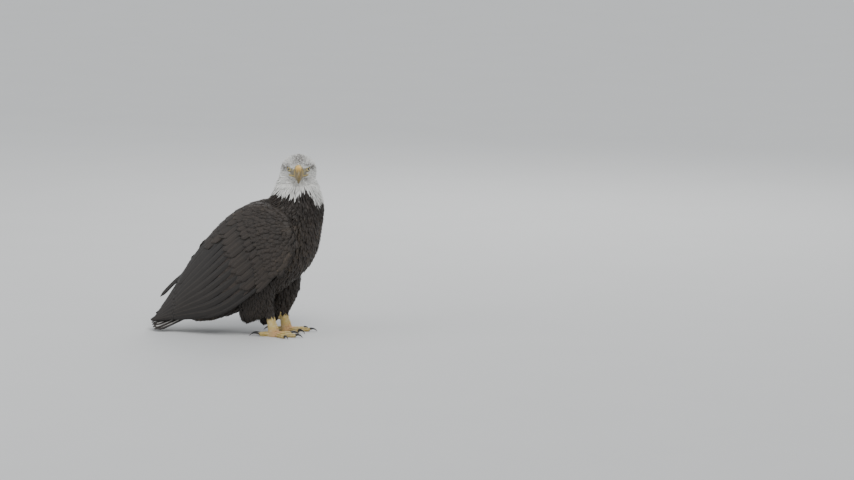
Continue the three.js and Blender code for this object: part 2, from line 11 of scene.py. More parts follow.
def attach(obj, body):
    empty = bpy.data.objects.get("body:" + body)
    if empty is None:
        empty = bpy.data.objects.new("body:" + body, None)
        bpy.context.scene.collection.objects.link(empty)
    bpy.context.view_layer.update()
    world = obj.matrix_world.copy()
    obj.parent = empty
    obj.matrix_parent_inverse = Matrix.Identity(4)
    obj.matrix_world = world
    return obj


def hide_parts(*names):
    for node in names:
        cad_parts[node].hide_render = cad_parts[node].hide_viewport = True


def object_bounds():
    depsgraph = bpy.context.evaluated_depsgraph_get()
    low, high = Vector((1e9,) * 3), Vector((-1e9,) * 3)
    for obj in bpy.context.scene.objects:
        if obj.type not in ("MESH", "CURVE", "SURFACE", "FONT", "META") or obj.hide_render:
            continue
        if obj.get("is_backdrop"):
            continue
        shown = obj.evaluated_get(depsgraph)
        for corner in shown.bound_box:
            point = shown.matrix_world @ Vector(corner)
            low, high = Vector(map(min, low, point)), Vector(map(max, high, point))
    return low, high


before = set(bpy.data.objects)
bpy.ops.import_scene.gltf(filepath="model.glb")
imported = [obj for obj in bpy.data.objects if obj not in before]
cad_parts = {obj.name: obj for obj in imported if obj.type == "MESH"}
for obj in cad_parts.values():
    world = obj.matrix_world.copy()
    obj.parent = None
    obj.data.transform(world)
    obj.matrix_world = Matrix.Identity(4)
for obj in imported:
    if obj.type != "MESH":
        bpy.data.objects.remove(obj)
CAD_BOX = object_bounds()

bl_info = {
    "name": "Standing Bald Eagle",
    "version": (1, 0, 0),
    "blender": (4, 5, 0),
    "location": "View3D > Sidebar > Eagle",
    "description": "Dresses the solid eagle with skin, feathers, bill, eyes and feet",
    "category": "Object",
}

# ---------------------------------------------------------------- the bird's own measures

# Lengths in this block are in millimetres, in the bird's drawing frame, whose origin lies this far along X.
ORIGIN_X = 9.5
SIDES = {"left": 1, "right": -1}
FLESH = ["head", "neck", "trunk"] + [
    f"{part}_{word}"
    for word in SIDES
    for part in ("wing", "thigh", "tarsus", "toe_hallux", "toe_inner", "toe_middle", "toe_outer")
]

# The body's ribs from the throat to the rump, each from a point on the back to one on the breast, as (x, z).
RIB_BACK = [
    (134, 512), (126, 488), (113, 456), (100, 430), (64, 414), (22, 398), (-20, 370),
    (-62, 328), (-102, 284), (-136, 238), (-160, 194), (-177, 154), (-192, 118), (-206, 96),
]
RIB_FRONT = [
    (238, 504), (254, 480), (264, 446), (272, 402), (266, 346), (258, 292), (242, 240),
    (202, 190), (150, 146), (92, 108), (20, 74), (-60, 43), (-132, 30), (-172, 42),
]

# The head's frame: its origin lies between the eyes, x runs to the bill, y to the bird's left, z up.
HEAD_AT = (197, -18, 528)
HEAD_TURN = math.radians(-76)
HEAD_NOD = math.radians(2)
EYE_AT = (11, 24.5, 0.5)
EYE_RADIUS = 11
GAZE = (0.8, 0.6, -0.03)
# How far the upper lid hangs towards the bill.
LID_TILT = 0.5
# Half the lids' opening in degrees, and how much of it the upper and the lower lid take away.
LID_OPENING, LID_UPPER, LID_LOWER = 46, 15, 4
# The lids' section: degrees outward from the opening, and rise over the eye.
LID_SECTION = ((2, -0.3), (0, 0.3), (1.2, 0.6), (4, 0.75), (9, 0.7), (20, 0.3), (20, -0.5))
# The bony brow over each eye in side view, as points (x, z) from the bill's base backwards; its height, its
# spread and the way it stands out.
BROW = [(29, 8.5), (21, 10.5), (11, 11.5), (1, 10.5), (-9, 6)]
BROW_HEIGHT, BROW_SPREAD, BROW_WAY = 8.0, 4.4, (0.6, 0.7, -0.38)

# The bill's halves from base to tip: ridge x, ridge z, edge x, edge z and half breadth.
BILL_UPPER = [
    (24, 15, 24, -17, 14.5), (40, 14.5, 39, -18, 14), (52, 11.5, 50, -19.5, 12.5),
    (62, 5, 59, -21, 10.5), (70, -4, 66, -23.5, 8), (75, -14, 70, -27.5, 6),
    (77, -25, 72.5, -32, 3.8), (76, -34.5, 74, -37, 1.5),
]
BILL_LOWER = [
    (20, -33, 20, -18.5, 12.5), (36, -34, 36, -19.5, 11.5), (50, -33, 50, -21.5, 9.5),
    (59, -31, 59, -23.5, 6.5), (64.5, -29, 65, -26, 3.2),
]
# How far the faces where the halves meet bulge, as a share of the bill's height.
BILL_FLAT = 0.06
# The fleshy lip of the gape, from the bill's side back under the eye, and its radius.
GAPE = [
    (44, 12.4, -18.6), (38, 14.4, -18.3), (32, 17.2, -18.1),
    (26, 21.2, -18.1), (21, 24.4, -18.6), (15, 28.2, -20),
]
GAPE_RADIUS = 1.3

# The folded wing's ribs from wrist to tip: their upper and lower ends as (x, z), and how far out both lie.
WING_UPPER = [
    (182, 374), (142, 402), (78, 410), (20, 394), (-36, 353), (-88, 300),
    (-134, 242), (-172, 189), (-205, 139), (-236, 94), (-264, 61), (-286, 47),
]
WING_LOWER = [
    (204, 330), (200, 288), (170, 240), (118, 194), (58, 142), (-6, 98),
    (-66, 72), (-122, 62), (-172, 57), (-214, 53), (-250, 47), (-282, 41),
]
WING_SPREAD = [
    (77, 88), (62, 103), (44, 112), (30, 115), (26, 112), (24, 103),
    (22, 90), (19, 74), (15, 57), (12, 42), (12, 32), (13, 26),
]
# Shares of the wing's length: where the secondaries end, how their ends slant, the shortest primary's end.
PANEL_END, PANEL_SLANT = 0.74, 0.1
PRIMARY_SHORTEST = 0.86
# How thick the wing is at its front and at the secondaries' ends, and the primaries at their roots and tips.
WING_FRONT, WING_STACK, PRIMARY_FACE = 16, 9, (8.2, 5.9)
# The slipped feather across the back.
LOOSE_ROOT, LOOSE_TIP = (-176, 16, 186), (-256, -4, 106)
LOOSE_ROLL = math.radians(50)

# The tail: its middle line's ends, half its breadth at both, its arch, its roll to one side, the number of
# its feathers, and how much shorter the outermost ones are.
TAIL_BASE, TAIL_TIP = (-108, 0, 100), (-290, 0, 33)
TAIL_HALF_BASE, TAIL_HALF_TIP = 34, 58
TAIL_ARCH = math.radians(60)
TAIL_ROLL = math.radians(12)
TAIL_FEATHERS = 12
TAIL_GRADUATION = 0.08

# How high the white begins on the neck, as x from back to front and z.
COLLAR = ((100, 140, 165, 205, 218, 238, 248, 272), (480, 470, 457, 452, 472, 472, 454, 438))

# The legs: how far the left one stands ahead; the foot's ball and the shank's top, with y outward; the radii
# of ball and shank, and how far the toes' roots lie inside the ball.
STRIDE = 15
BALL_AT = (123, 52, 15)
TARSUS_TOP = (101, 53, 108)
BALL_RADIUS, TARSUS_RADIUS, TOE_ROOT = 18.5, 13.5, 6
# Each toe: direction in degrees, length, radius at root and tip, pads, and radius of the claw's curve.
TOES = {
    "hallux": (172, 32, 8.6, 6.6, 2, 24),
    "inner": (-32, 42, 8.4, 6.4, 2, 21),
    "middle": (8, 61, 8.4, 5.8, 3, 17.5),
    "outer": (42, 47, 7.8, 5.4, 3, 15.5),
}
# A claw's radius at its base as a share of the toe's, its tip's radius, how deep it sits in the toe, and how
# steeply it rises from it.
CLAW_BASE, CLAW_TIP, CLAW_SEAT = 0.86, 0.5, 3
CLAW_RISE = math.radians(40)
SHANK_REACH = 20  # points this near a shank's middle are bare
# The trousers' hem: how far down the shank each ring of feathers is rooted, and how far its tips stand off.
HEM = ((8, 3.0), (15, 1.8), (22, 1.2), (28, 0.9), (34, 0.5))

# From here on lengths are in metres.
PATCH = 0.003  # how wide each feather's place is, on a bake map that is 1 wide
AIR_REACH = 0.012  # a face with another part of the bird this near in front of it is hidden
FRAY, ROUNDING = 0.08, 0.5  # how ragged and how round feather tips are, as shares of the half breadth
FLOOR_HALF = 60
AIM_RIGHT, AIM_UP = 0.589, 0.291  # the camera's aim, from the bird's origin, along the picture's sides

form = {}  # the outer form and the skin, kept for the operators that follow


def smooth(x, low, high):
    t = np.clip((np.asarray(x, float) - low) / (high - low), 0, 1)
    return t * t * (3 - 2 * t)


def unit(v):
    return v / np.maximum(np.linalg.norm(v, axis=-1, keepdims=True), 1e-12)


def metres(x, y, z):
    """A point of the drawing frame, in metres in the model's frame."""
    x, y, z = np.broadcast_arrays(x, y, z)
    return np.stack([x + ORIGIN_X, y, z], -1) / 1000


def drawing(p):
    """A point of the model's frame, in the drawing frame's millimetres."""
    return np.asarray(p) * 1000 - np.array([ORIGIN_X, 0, 0])


def curve_through(rows):
    """A smooth curve through rows of numbers, read at t from 0 to 1 and straight past its ends."""
    p = np.array(rows, float)
    if p.ndim == 1:
        p = p[:, None]
    q = np.vstack([2 * p[0] - p[1], p, 2 * p[-1] - p[-2]])
    gap = np.sqrt(np.linalg.norm(np.diff(q, axis=0), axis=1))[:, None]
    x0, x1, x2, x3 = q[:-3], q[1:-2], q[2:-1], q[3:]
    d0, d1, d2 = gap[:-2], gap[1:-1], gap[2:]
    a = ((x1 - x0) / d0 - (x2 - x0) / (d0 + d1) + (x2 - x1) / d1) * d1
    b = ((x2 - x1) / d1 - (x3 - x1) / (d1 + d2) + (x3 - x2) / d2) * d1
    cubic = (x1, a, 3 * (x2 - x1) - 2 * a - b, 2 * (x1 - x2) + a + b)
    pieces = len(p) - 1

    def read(t):
        t = np.asarray(t, float)
        near = np.clip(t, 0, 1)
        i = np.minimum((near * pieces).astype(int), pieces - 1)
        w = (near * pieces - i)[..., None]
        c0, c1, c2, c3 = (c[i] for c in cubic)
        slope = (c1 + w * (2 * c2 + 3 * w * c3)) * pieces
        return c0 + w * (c1 + w * (c2 + w * c3)) + (t - near)[..., None] * slope

    return read


wing_upper = curve_through(WING_UPPER)
wing_lower = curve_through(WING_LOWER)
wing_spread = curve_through(WING_SPREAD)
rib_back = curve_through(RIB_BACK)
rib_front = curve_through(RIB_FRONT)


def panel_end(v):
    """Where along the wing the longest secondaries end."""
    return PANEL_END - PANEL_SLANT * (1 - v)


def wing_core(side, s, v):
    """The sheet that the folded wing is built out from: s from wrist to tip, v from back to lower edge."""
    angle = np.pi / 2 * v
    upper, lower, spread = wing_upper(s), wing_lower(s), wing_spread(s)
    fall = (1 - np.cos(angle))[..., None]
    x, z = np.moveaxis(upper * (1 - fall) + lower * fall, -1, 0)
    y = side * (spread[..., 0] + (spread[..., 1] - spread[..., 0]) * np.sin(angle))
    return metres(x, y, z + y * np.tan(TAIL_ROLL) * smooth(s, 0.6, 1))


def steps_on(surface, side, s, v):
    """The surface's outward normal, and its steps along and across."""
    step = 0.004
    along = surface(side, s + step, v) - surface(side, s - step, v)
    across = surface(side, s, v + step) - surface(side, s, v - step)
    return unit(np.cross(across, along)) * side, along / (2 * step), across / (2 * step)


def on_wing(side, s, v):
    """A point on the folded wing's outer surface."""
    s, v = np.broadcast_arrays(s, v)
    end = panel_end(v)
    swell = 0.5 + 0.5 * np.sin(np.pi * (0.12 + 0.76 * np.clip(v, 0, 1)))
    panel = (WING_FRONT + (WING_STACK - WING_FRONT) * np.clip(s / end, 0, 1)) * swell
    vanes = PRIMARY_FACE[0] + (PRIMARY_FACE[1] - PRIMARY_FACE[0]) * smooth(s, 0.7, 1)
    out = panel + (vanes - panel) * smooth(s, end - 0.02, end + 0.02)
    return wing_core(side, s, v) + steps_on(wing_core, side, s, v)[0] * out[..., None] / 1000


def wing_frame(side, s, v):
    """The wing's point with its outward normal, and how far one unit of v reaches there."""
    s, v = np.broadcast_arrays(s, v)
    normal, _, across = steps_on(on_wing, side, s, v)
    return on_wing(side, s, v), normal, np.linalg.norm(across, axis=-1)


def on_tail(u, v, lift):
    """A point on the tail: u from base to tip, v from -1 on the right to 1 on the left, lift in mm."""
    u, v, lift = np.broadcast_arrays(u, v, lift)
    run = np.subtract(TAIL_TIP, TAIL_BASE)
    up = unit(np.cross((0, 1, 0), run))
    half = TAIL_HALF_BASE + (TAIL_HALF_TIP - TAIL_HALF_BASE) * np.maximum(u, 0) ** 0.8
    radius = half / np.sin(TAIL_ARCH)
    side = (radius + lift) * np.sin(TAIL_ARCH * v)
    rise = (radius + lift) * np.cos(TAIL_ARCH * v) - radius
    y = side * np.cos(TAIL_ROLL) - rise * np.sin(TAIL_ROLL)
    h = side * np.sin(TAIL_ROLL) + rise * np.cos(TAIL_ROLL)
    p = np.array(TAIL_BASE) + u[..., None] * run + h[..., None] * up
    return metres(p[..., 0], p[..., 1] + y, np.maximum(p[..., 2], 0.3))


def turn_matrix():
    cz, sz = math.cos(HEAD_TURN), math.sin(HEAD_TURN)
    cy, sy = math.cos(HEAD_NOD), math.sin(HEAD_NOD)
    about_z = np.array([[cz, -sz, 0], [sz, cz, 0], [0, 0, 1]])
    about_y = np.array([[cy, 0, sy], [0, 1, 0], [-sy, 0, cy]])
    return about_z @ about_y


HEAD_AXES = turn_matrix()


def on_head(x, y, z):
    local = np.stack(np.broadcast_arrays(x, y, z), -1).astype(float)
    p = local @ HEAD_AXES.T + np.array(HEAD_AT)
    return metres(p[..., 0], p[..., 1], p[..., 2])


def in_head(p):
    """A point of the model's frame, in the head's frame in millimetres."""
    return (drawing(p) - np.array(HEAD_AT)) @ HEAD_AXES


def leg_shift(word):
    return STRIDE if word == "left" else 0


def shank_ends(word):
    """A shank's top and the ball of its foot, in the drawing frame."""
    return [np.array([x + leg_shift(word), SIDES[word] * y, z]) for x, y, z in (TARSUS_TOP, BALL_AT)]


# ---------------------------------------------------------------- markings


def markings(p):
    """How white, how pale-edged and how dusky (with painted shade under brows and bill) the plumage is at
    points of the model's frame.
    """
    x, y, z = drawing(p).T
    hx, hy, hz = in_head(p).T
    collar = np.interp(x, *COLLAR) + 5 * np.sin(y * 0.09 + 1)
    white = smooth(z, collar - 9, collar + 9) * smooth(x, 60, 90)
    rump = smooth(-x, 118, 160) * smooth(-(z - 62 - 0.9 * (x + 205)), -60, 10)
    breast = smooth(x, 150, 215) * smooth(z, 180, 290) * (1 - smooth(z, 340, 430))
    mantle = smooth(z, 385, 402) * smooth(x, -20, 20) * (1 - smooth(x, 150, 175))
    vent = smooth(-x, 10, 60) * (1 - smooth(z, 70, 100))
    pale = np.clip(0.1 + 0.9 * breast + 0.6 * mantle + 0.8 * vent, 0, 1)
    # Dusky patches on the head: flecks on the crown and behind the eyes, a painted shadow along each brow,
    # and grey chin feathers darkened further by painted shade under the bill.
    crown = np.exp(-(((hx - 16) / 22) ** 2) - ((hy - 2) / 18) ** 2) * smooth(hz, 6, 18)
    behind = np.exp(-(((hx - 1) / 12) ** 2) - ((hz - 2) / 9) ** 2) * smooth(abs(hy), 18, 28)
    # A painted shadow of the brow: a dark bar over each eye.
    brow_shadow = np.exp(-(((hz - 10) / 5) ** 2) - ((hx - 16) / 13) ** 2) * smooth(abs(hy), 9, 15)
    # Grey chin feathers, with painted shade under the bill on top.
    chin_grey_and_shade = np.exp(-(((hz + 26) / 10) ** 2) - ((hx - 30) / 15) ** 2)
    dusky = np.clip(1.6 * crown + 1.3 * behind + 1.8 * brow_shadow + 0.8 * chin_grey_and_shade, 0, 1) * white
    return np.stack([white, pale, np.clip(dusky + 0.5 * rump, 0, 1)], -1)


# ---------------------------------------------------------------- meshes from arrays


def mesh_from(name, points, faces):
    """An object from points and a list of face index arrays, each of one face size."""
    mesh = bpy.data.meshes.new(name)
    mesh.vertices.add(len(points))
    mesh.vertices.foreach_set("co", np.asarray(points, np.float32).ravel())
    corners = np.concatenate([f.ravel() for f in faces]).astype(np.int32)
    sizes = np.concatenate([np.full(len(f), f.shape[1]) for f in faces]).astype(np.int32)
    starts = np.concatenate([[0], np.cumsum(sizes)[:-1]]).astype(np.int32)
    mesh.loops.add(len(corners))
    mesh.loops.foreach_set("vertex_index", corners)
    mesh.polygons.add(len(sizes))
    mesh.polygons.foreach_set("loop_start", starts)
    mesh.polygons.foreach_set("loop_total", sizes)
    mesh.update(calc_edges=True)
    mesh.polygons.foreach_set("use_smooth", np.full(len(sizes), True))
    piece = bpy.data.objects.new(name, mesh)
    bpy.context.scene.collection.objects.link(piece)
    return piece


def points_of(mesh):
    co = np.empty(len(mesh.vertices) * 3, np.float32)
    mesh.vertices.foreach_get("co", co)
    return co.reshape(-1, 3).astype(float)


def corners_of(mesh):
    """The point at each corner of each face."""
    corner = np.empty(len(mesh.loops), np.int32)
    mesh.loops.foreach_get("vertex_index", corner)
    return corner


def give(piece, **values):
    """Writes named values on a piece's points, three numbers to a point."""
    for name, array in values.items():
        attribute = piece.data.attributes.new(name, "FLOAT_VECTOR", "POINT")
        attribute.data.foreach_set("vector", np.asarray(array, np.float32).ravel())


def give_map(piece, places):
    """Writes the bake map from one place to a point."""
    corner = corners_of(piece.data)
    layer = piece.data.uv_layers.new(name="OFBake")
    layer.data.foreach_set("uv", np.asarray(places, np.float32)[corner].ravel())


def finish_piece(piece, material, replaces=()):
    piece.data.materials.append(material)
    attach(piece, "root")
    if replaces:
        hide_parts(*replaces)


def ring_quads(rings, sides):
    """The quads between successive rings of `sides` points each."""
    k, j = np.meshgrid(np.arange(rings - 1) * sides, np.arange(sides), indexing="ij")
    after = (j + 1) % sides
    return np.stack([k + j, k + after, k + sides + after, k + sides + j], -1).reshape(-1, 4)


def loft(rings):
    """Points and faces of rings (K, M, 3), each end closed by a fan about its middle."""
    k, m, _ = rings.shape
    points = np.vstack([rings.reshape(-1, 3), rings[0].mean(0), rings[-1].mean(0)])
    turn = np.arange(m)
    following = (turn + 1) % m
    last = (k - 1) * m
    first_fan = np.stack([following, turn, np.full(m, k * m)], -1)
    last_fan = np.stack([last + turn, last + following, np.full(m, k * m + 1)], -1)
    return points, outward(points, [ring_quads(k, m), np.vstack([first_fan, last_fan])])


def tube(line, radius, across, upward):
    """Rings round a line: `radius` at each of its points, and at each angle the shares across and upward."""
    tangent = unit(np.gradient(line, axis=0))
    up = unit(np.array([[0, 0, 1.0]]) - tangent * tangent[:, 2:])
    aside = np.cross(tangent, up)
    return line[:, None] + radius[:, None, None] * (
        across[None, :, None] * aside[:, None] + upward[None, :, None] * up[:, None]
    )


def outward(points, faces):
    """The same faces, all turned over if together they enclose a negative volume."""
    total = 0.0
    for f in faces:
        a, b = points[f[:, 0]], points[f[:, 1]]
        for k in range(2, f.shape[1]):
            total += np.einsum("ij,ij->i", a, np.cross(b, points[f[:, k]])).sum()
            b = points[f[:, k]]
    return faces if total > 0 else [f[:, ::-1] for f in faces]


# ---------------------------------------------------------------- vanes

# Half breadths of each kind of feather from root to tip, as shares of the widest.
OUTLINES = {
    "contour": ((0, 0.15, 0.4, 0.7, 0.88, 1), (0.35, 0.7, 0.95, 1, 0.86, 0.5)),
    "hackle": ((0, 0.2, 0.45, 0.75, 0.92, 1), (0.5, 0.9, 1, 0.72, 0.34, 0.08)),
    "covert": ((0, 0.15, 0.4, 0.8, 0.93, 1), (0.4, 0.8, 1, 1, 0.84, 0.5)),
    "flight": ((0, 0.1, 0.4, 0.85, 0.95, 1), (0.4, 0.8, 1, 0.96, 0.76, 0.42)),
    "scute": ((0, 0.2, 0.5, 0.8, 1), (0.75, 0.95, 1, 0.97, 0.82)),
}


def breadth_at(kind, u):
    at, width = OUTLINES[kind]
    return np.interp(u, at, width)


def vane_faces(count, rows, columns):
    """Faces of `count` closed vanes, each of rows + 1 rings with 2 * columns points."""
    m = 2 * columns
    tris = [(0, 1, m - 1), (columns - 1, columns, columns + 1)]
    caps = [(i, i + 1, m - i - 1, m - i) for i in range(1, columns - 1)]
    last = rows * m
    quads = [ring_quads(rows + 1, m)]
    if caps:
        caps = np.array(caps)
        quads += [caps[:, ::-1], caps + last]
    tris = np.array(tris)
    tris = np.vstack([tris[:, ::-1], tris + last])
    shift = (np.arange(count) * (rows + 1) * m)[:, None, None]
    quads = (np.vstack(quads)[None] + shift).reshape(-1, 4)
    return [quads, (tris[None] + shift).reshape(-1, 3)]


class Coat:
    """Gathers batches of feathers and joins them into one piece."""

    def __init__(self):
        self.points, self.faces, self.total = [], [[], []], 0
        self.values = {"lie": [], "run": [], "mark": [], "place": []}

    def add(self, grid, normal, half, length, mark, place, rng, thickness=0.0005, quill=0.0):
        """grid and normal are (N, rows + 1, columns + 1, 3); half and length are (N,) in metres."""
        count, rows, columns = grid.shape[0], grid.shape[1] - 1, grid.shape[2] - 1
        v = np.linspace(-1, 1, columns + 1)
        u = np.linspace(0, 1, rows + 1)
        depth = (thickness / 2) * (1 - v**2)[None, None, :, None]
        crest = np.zeros(columns + 1)
        crest[columns // 2] = quill
        fade = (1 - 0.8 * u)[None, :, None, None]
        top = grid + normal * (depth + crest[None, None, :, None] * fade)
        under = (grid - normal * depth)[:, :, columns - 1 : 0 : -1]
        ring = np.concatenate([top, under], 2)
        m = 2 * columns
        across = np.concatenate([v, v[columns - 1 : 0 : -1]])
        shape = (count, rows + 1, m)
        lie_u = np.broadcast_to(u[None, :, None], shape)
        lie_v = np.broadcast_to(across[None, None, :], shape)
        chance = np.broadcast_to(rng.random(count)[:, None, None], shape)
        along = lie_u * np.asarray(length)[:, None, None]
        aside = lie_v * np.asarray(half)[:, None, None]
        breadth = np.broadcast_to(np.asarray(half)[:, None, None], shape)
        if mark.ndim == 2:
            mark = np.broadcast_to(mark[:, None, None, :], (*shape, 3))
        patch_u = place[:, 0][:, None, None] + PATCH * (lie_v + 1) / 2
        patch_v = place[:, 1][:, None, None] + PATCH * lie_u
        for name, array in (
            ("lie", np.stack([lie_u, lie_v, chance], -1)),
            ("run", np.stack([along, aside, breadth], -1)),
            ("mark", mark),
            ("place", np.stack([patch_u, patch_v], -1)),
        ):
            self.values[name].append(array.reshape(-1, array.shape[-1]).astype(np.float32))
        faces = vane_faces(count, rows, columns)
        flat = ring.reshape(-1, 3)
        one = [f[: len(f) // count] for f in faces]
        if outward(flat[: (rows + 1) * m], one)[0] is not one[0]:
            faces = [f[:, ::-1] for f in faces]
        for store, f in zip(self.faces, faces):
            store.append(f + self.total)
        self.points.append(flat)
        self.total += len(flat)

    def make(self, name, material, replaces=()):
        faces = [np.vstack(f) for f in self.faces]
        piece = mesh_from(name, np.vstack(self.points), faces)
        give(piece, **{k: np.vstack(self.values[k]) for k in ("lie", "run", "mark")})
        give_map(piece, np.vstack(self.values["place"]))
        count = 2 * len(faces[0]) + len(faces[1])
        print(f"{name}: {count} triangles")
        finish_piece(piece, material, replaces)


def path_grid(path, normal, half, kind, columns, camber, rounding, fray, rng):
    """Spreads each feather's midline (N, R + 1, 3) to a grid with the outline of its kind."""
    count, rows = path.shape[0], path.shape[1] - 1
    u = np.linspace(0, 1, rows + 1)
    v = np.linspace(-1, 1, columns + 1)
    tangent = unit(np.gradient(path, axis=1))
    side = unit(np.cross(normal, tangent))
    width = half[:, None] * breadth_at(kind, u)[None]
    back = rounding[:, None, None] * (u[None, :, None] ** 3) * (v**2)[None, None]
    jag = rng.normal(size=(count, 1, columns + 1))
    back = back + fray * half[:, None, None] * (u[None, :, None] ** 4) * jag
    grid = (
        path[:, :, None]
        + side[:, :, None] * (width[:, :, None] * v)[..., None]
        - normal[:, :, None] * (camber * width[:, :, None] * v**2)[..., None]
        - tangent[:, :, None] * back[..., None]
    )
    return grid, np.broadcast_to(normal[:, :, None], grid.shape)


# ---------------------------------------------------------------- the outer form and the skin


def edges_of(faces):
    pairs = np.vstack([np.stack([faces[:, i], np.roll(faces, -1, 1)[:, i]], -1) for i in range(4)])
    return np.unique(np.sort(pairs, 1), axis=0)


def neighbour_mean(values, edges):
    """The mean of each point's neighbours, for values of one or three numbers to a point."""
    flat = values.reshape(len(values), -1)
    a, b = edges[:, 0], edges[:, 1]
    n = len(flat)
    count = np.bincount(a, minlength=n) + np.bincount(b, minlength=n)
    columns = [
        np.bincount(a, flat[b, c], n) + np.bincount(b, flat[a, c], n) for c in range(flat.shape[1])
    ]
    return (np.stack(columns, -1) / np.maximum(count, 1)[:, None]).reshape(values.shape)


def relax(values, edges, rounds, back=0.0):
    """Smooths values over the mesh; with `back`, each round is followed by a step that undoes shrinking."""
    for _ in range(rounds):
        values = values + 0.5 * (neighbour_mean(values, edges) - values)
        if back:
            values = values - back * (neighbour_mean(values, edges) - values)
    return values


def normals_of(points, faces):
    a, b, c, d = (points[faces[:, i]] for i in range(4))
    face_normal = np.cross(c - a, d - b)
    total = np.zeros_like(points)
    for i in range(4):
        for axis in range(3):
            total[:, axis] += np.bincount(faces[:, i], face_normal[:, axis], len(points))
    return unit(total)


def grown_copy(nodes, by):
    """One mesh of copies of the nodes, each grown a little so that the cuts between them close."""
    points, faces, total = [], [], 0
    for name in nodes:
        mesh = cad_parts[name].data
        co = points_of(mesh)
        mesh.calc_loop_triangles()
        tri = np.empty(len(mesh.loop_triangles) * 3, np.int32)
        mesh.loop_triangles.foreach_get("vertices", tri)
        tri = tri.reshape(-1, 3)
        _, first, same = np.unique(np.round(co, 6), axis=0, return_index=True, return_inverse=True)
        co, tri = co[first], same.ravel()[tri]
        face_normal = np.cross(co[tri[:, 1]] - co[tri[:, 0]], co[tri[:, 2]] - co[tri[:, 0]])
        normal = np.zeros_like(co)
        for i in range(3):
            np.add.at(normal, tri[:, i], face_normal)
        points.append(co + by * unit(normal))
        faces.append(tri + total)
        total += len(co)
    return np.vstack(points), np.vstack(faces)


def remeshed(points, triangles, voxel):
    """Points and quads of a voxel remesh."""
    source = mesh_from("remesh_source", points, [triangles])
    modifier = source.modifiers.new("remesh", "REMESH")
    modifier.mode = "VOXEL"
    modifier.voxel_size = voxel
    shown = source.evaluated_get(bpy.context.evaluated_depsgraph_get())
    mesh = bpy.data.meshes.new_from_object(shown)
    co, quads = points_of(mesh), corners_of(mesh).reshape(-1, 4)
    bpy.data.objects.remove(source)
    bpy.data.meshes.remove(mesh)
    return co, quads


def largest_shell(points, quads):
    """Only the biggest connected part of a mesh."""
    label = np.arange(len(points))
    edges = edges_of(quads)
    while True:
        low = np.minimum(label[edges[:, 0]], label[edges[:, 1]])
        new = label.copy()
        np.minimum.at(new, edges[:, 0], low)
        np.minimum.at(new, edges[:, 1], low)
        new = new[new]
        if (new == label).all():
            break
        label = new
    ids, counts = np.unique(label, return_counts=True)
    keep = label == ids[counts.argmax()]
    index = np.cumsum(keep) - 1
    quads = index[quads[keep[quads[:, 0]]]]
    return points[keep], quads


def foot_share(p):
    """1 on the bare shank and toes, 0 on the feathered body."""
    at = drawing(p)
    near = np.full(len(at), np.inf)
    for word in SIDES:
        top, ball = shank_ends(word)
        run = ball - top
        share = np.clip((at - top) @ run / (run @ run), 0, 1)
        near = np.minimum(near, np.linalg.norm(at - top - share[:, None] * run, axis=1))
    shank = 1 - smooth(near, SHANK_REACH, SHANK_REACH + 3)
    toes = 1 - smooth(at[:, 2], 14, 17)
    return np.maximum(shank, toes) * (1 - smooth(at[:, 2], 62, 76))


def bare_face(p):
    """1 on the bare skin between eye and bill and along the gape, in the head's frame."""
    x, y, z = in_head(p).T
    y = abs(y)
    lores = smooth(x, 16, 22) * smooth(-np.hypot(z + 7, 0.5 * (x - 26)), -14, -8)
    gape = smooth(x, 8, 14) * smooth(-abs(z + 19), -6, -3) * smooth(x - y, -30, -24)
    to_eye = np.sqrt((x - EYE_AT[0]) ** 2 + (y - EYE_AT[1]) ** 2 + (z - EYE_AT[2]) ** 2)
    ring = 1 - smooth(to_eye, EYE_RADIUS + 0.4, EYE_RADIUS + 1.6)
    near = smooth(x, -40, -20)
    return np.clip(np.maximum(np.maximum(lores, gape), ring) * near, 0, 1)


def coat_depth(p, sizes):
    """How far the skin lies under the feathers' outer surface."""
    head = smooth(drawing(p)[:, 2], 440, 480)
    face = smooth(in_head(p)[:, 0], -10, 20)
    depth = sizes.body_depth + (sizes.head_depth - sizes.body_depth) * head
    # Thin on the face, and next to nothing on the feet and on bare skin.
    depth = depth * (1 - 0.45 * face * head)
    depth = depth + (sizes.wing_depth - depth) * (form["part"] == "wing")
    depth = depth * (1 - 0.94 * foot_share(p))
    return depth * (1 - 0.9 * bare_face(p) * head)


def spine_place(p):
    """Where points lie along the body's ribs, and their share of the way from back to breast."""
    x, _, z = drawing(p).T
    t = np.linspace(0, 1, 160)
    back, front = rib_back(t), rib_front(t)
    run = front - back
    at = np.stack([x, z], -1)
    best, where, share = np.full(len(at), np.inf), np.zeros(len(at)), np.zeros(len(at))
    for i in range(len(t)):
        w = np.clip(((at - back[i]) @ run[i]) / (run[i] @ run[i]), 0, 1)
        gap = np.linalg.norm(back[i] + w[:, None] * run[i] - at, axis=1)
        closer = gap < best
        best[closer], where[closer], share[closer] = gap[closer], t[i], w[closer]
    return where, share


def spine_flow(p):
    """The way the feathers lie on neck and trunk: along the body at the same share of each rib."""
    where, share = spine_place(p)
    step = 0.01
    low, high = np.clip(where - step, 0, 1), np.clip(where + step, 0, 1)
    mix = share[:, None]
    way = (rib_back(high) * (1 - mix) + rib_front(high) * mix) - (
        rib_back(low) * (1 - mix) + rib_front(low) * mix
    )
    return unit(np.stack([way[:, 0], np.zeros(len(p)), way[:, 1]], -1))


def lie_of(p, part):
    """The direction in which feathers lie at each point of the outer form."""
    # Away from the bill on the head, along the body below it, backwards on wings and down on legs.
    away = unit(in_head(p) - np.array([62, 0, -8])) @ HEAD_AXES.T
    head = smooth(drawing(p)[:, 2], 452, 500)[:, None]
    flow = away * head + spine_flow(p) * (1 - head)
    for name, way in (("wing", (-0.72, 0, -0.6)), ("thigh", (-0.12, 0, -1.0))):
        flow = np.where((part == name)[:, None], unit(np.array([way])), flow)
    foot = foot_share(p)[:, None]
    return unit(flow * (1 - foot) + np.array([[0.1, 0, -1.0]]) * foot)


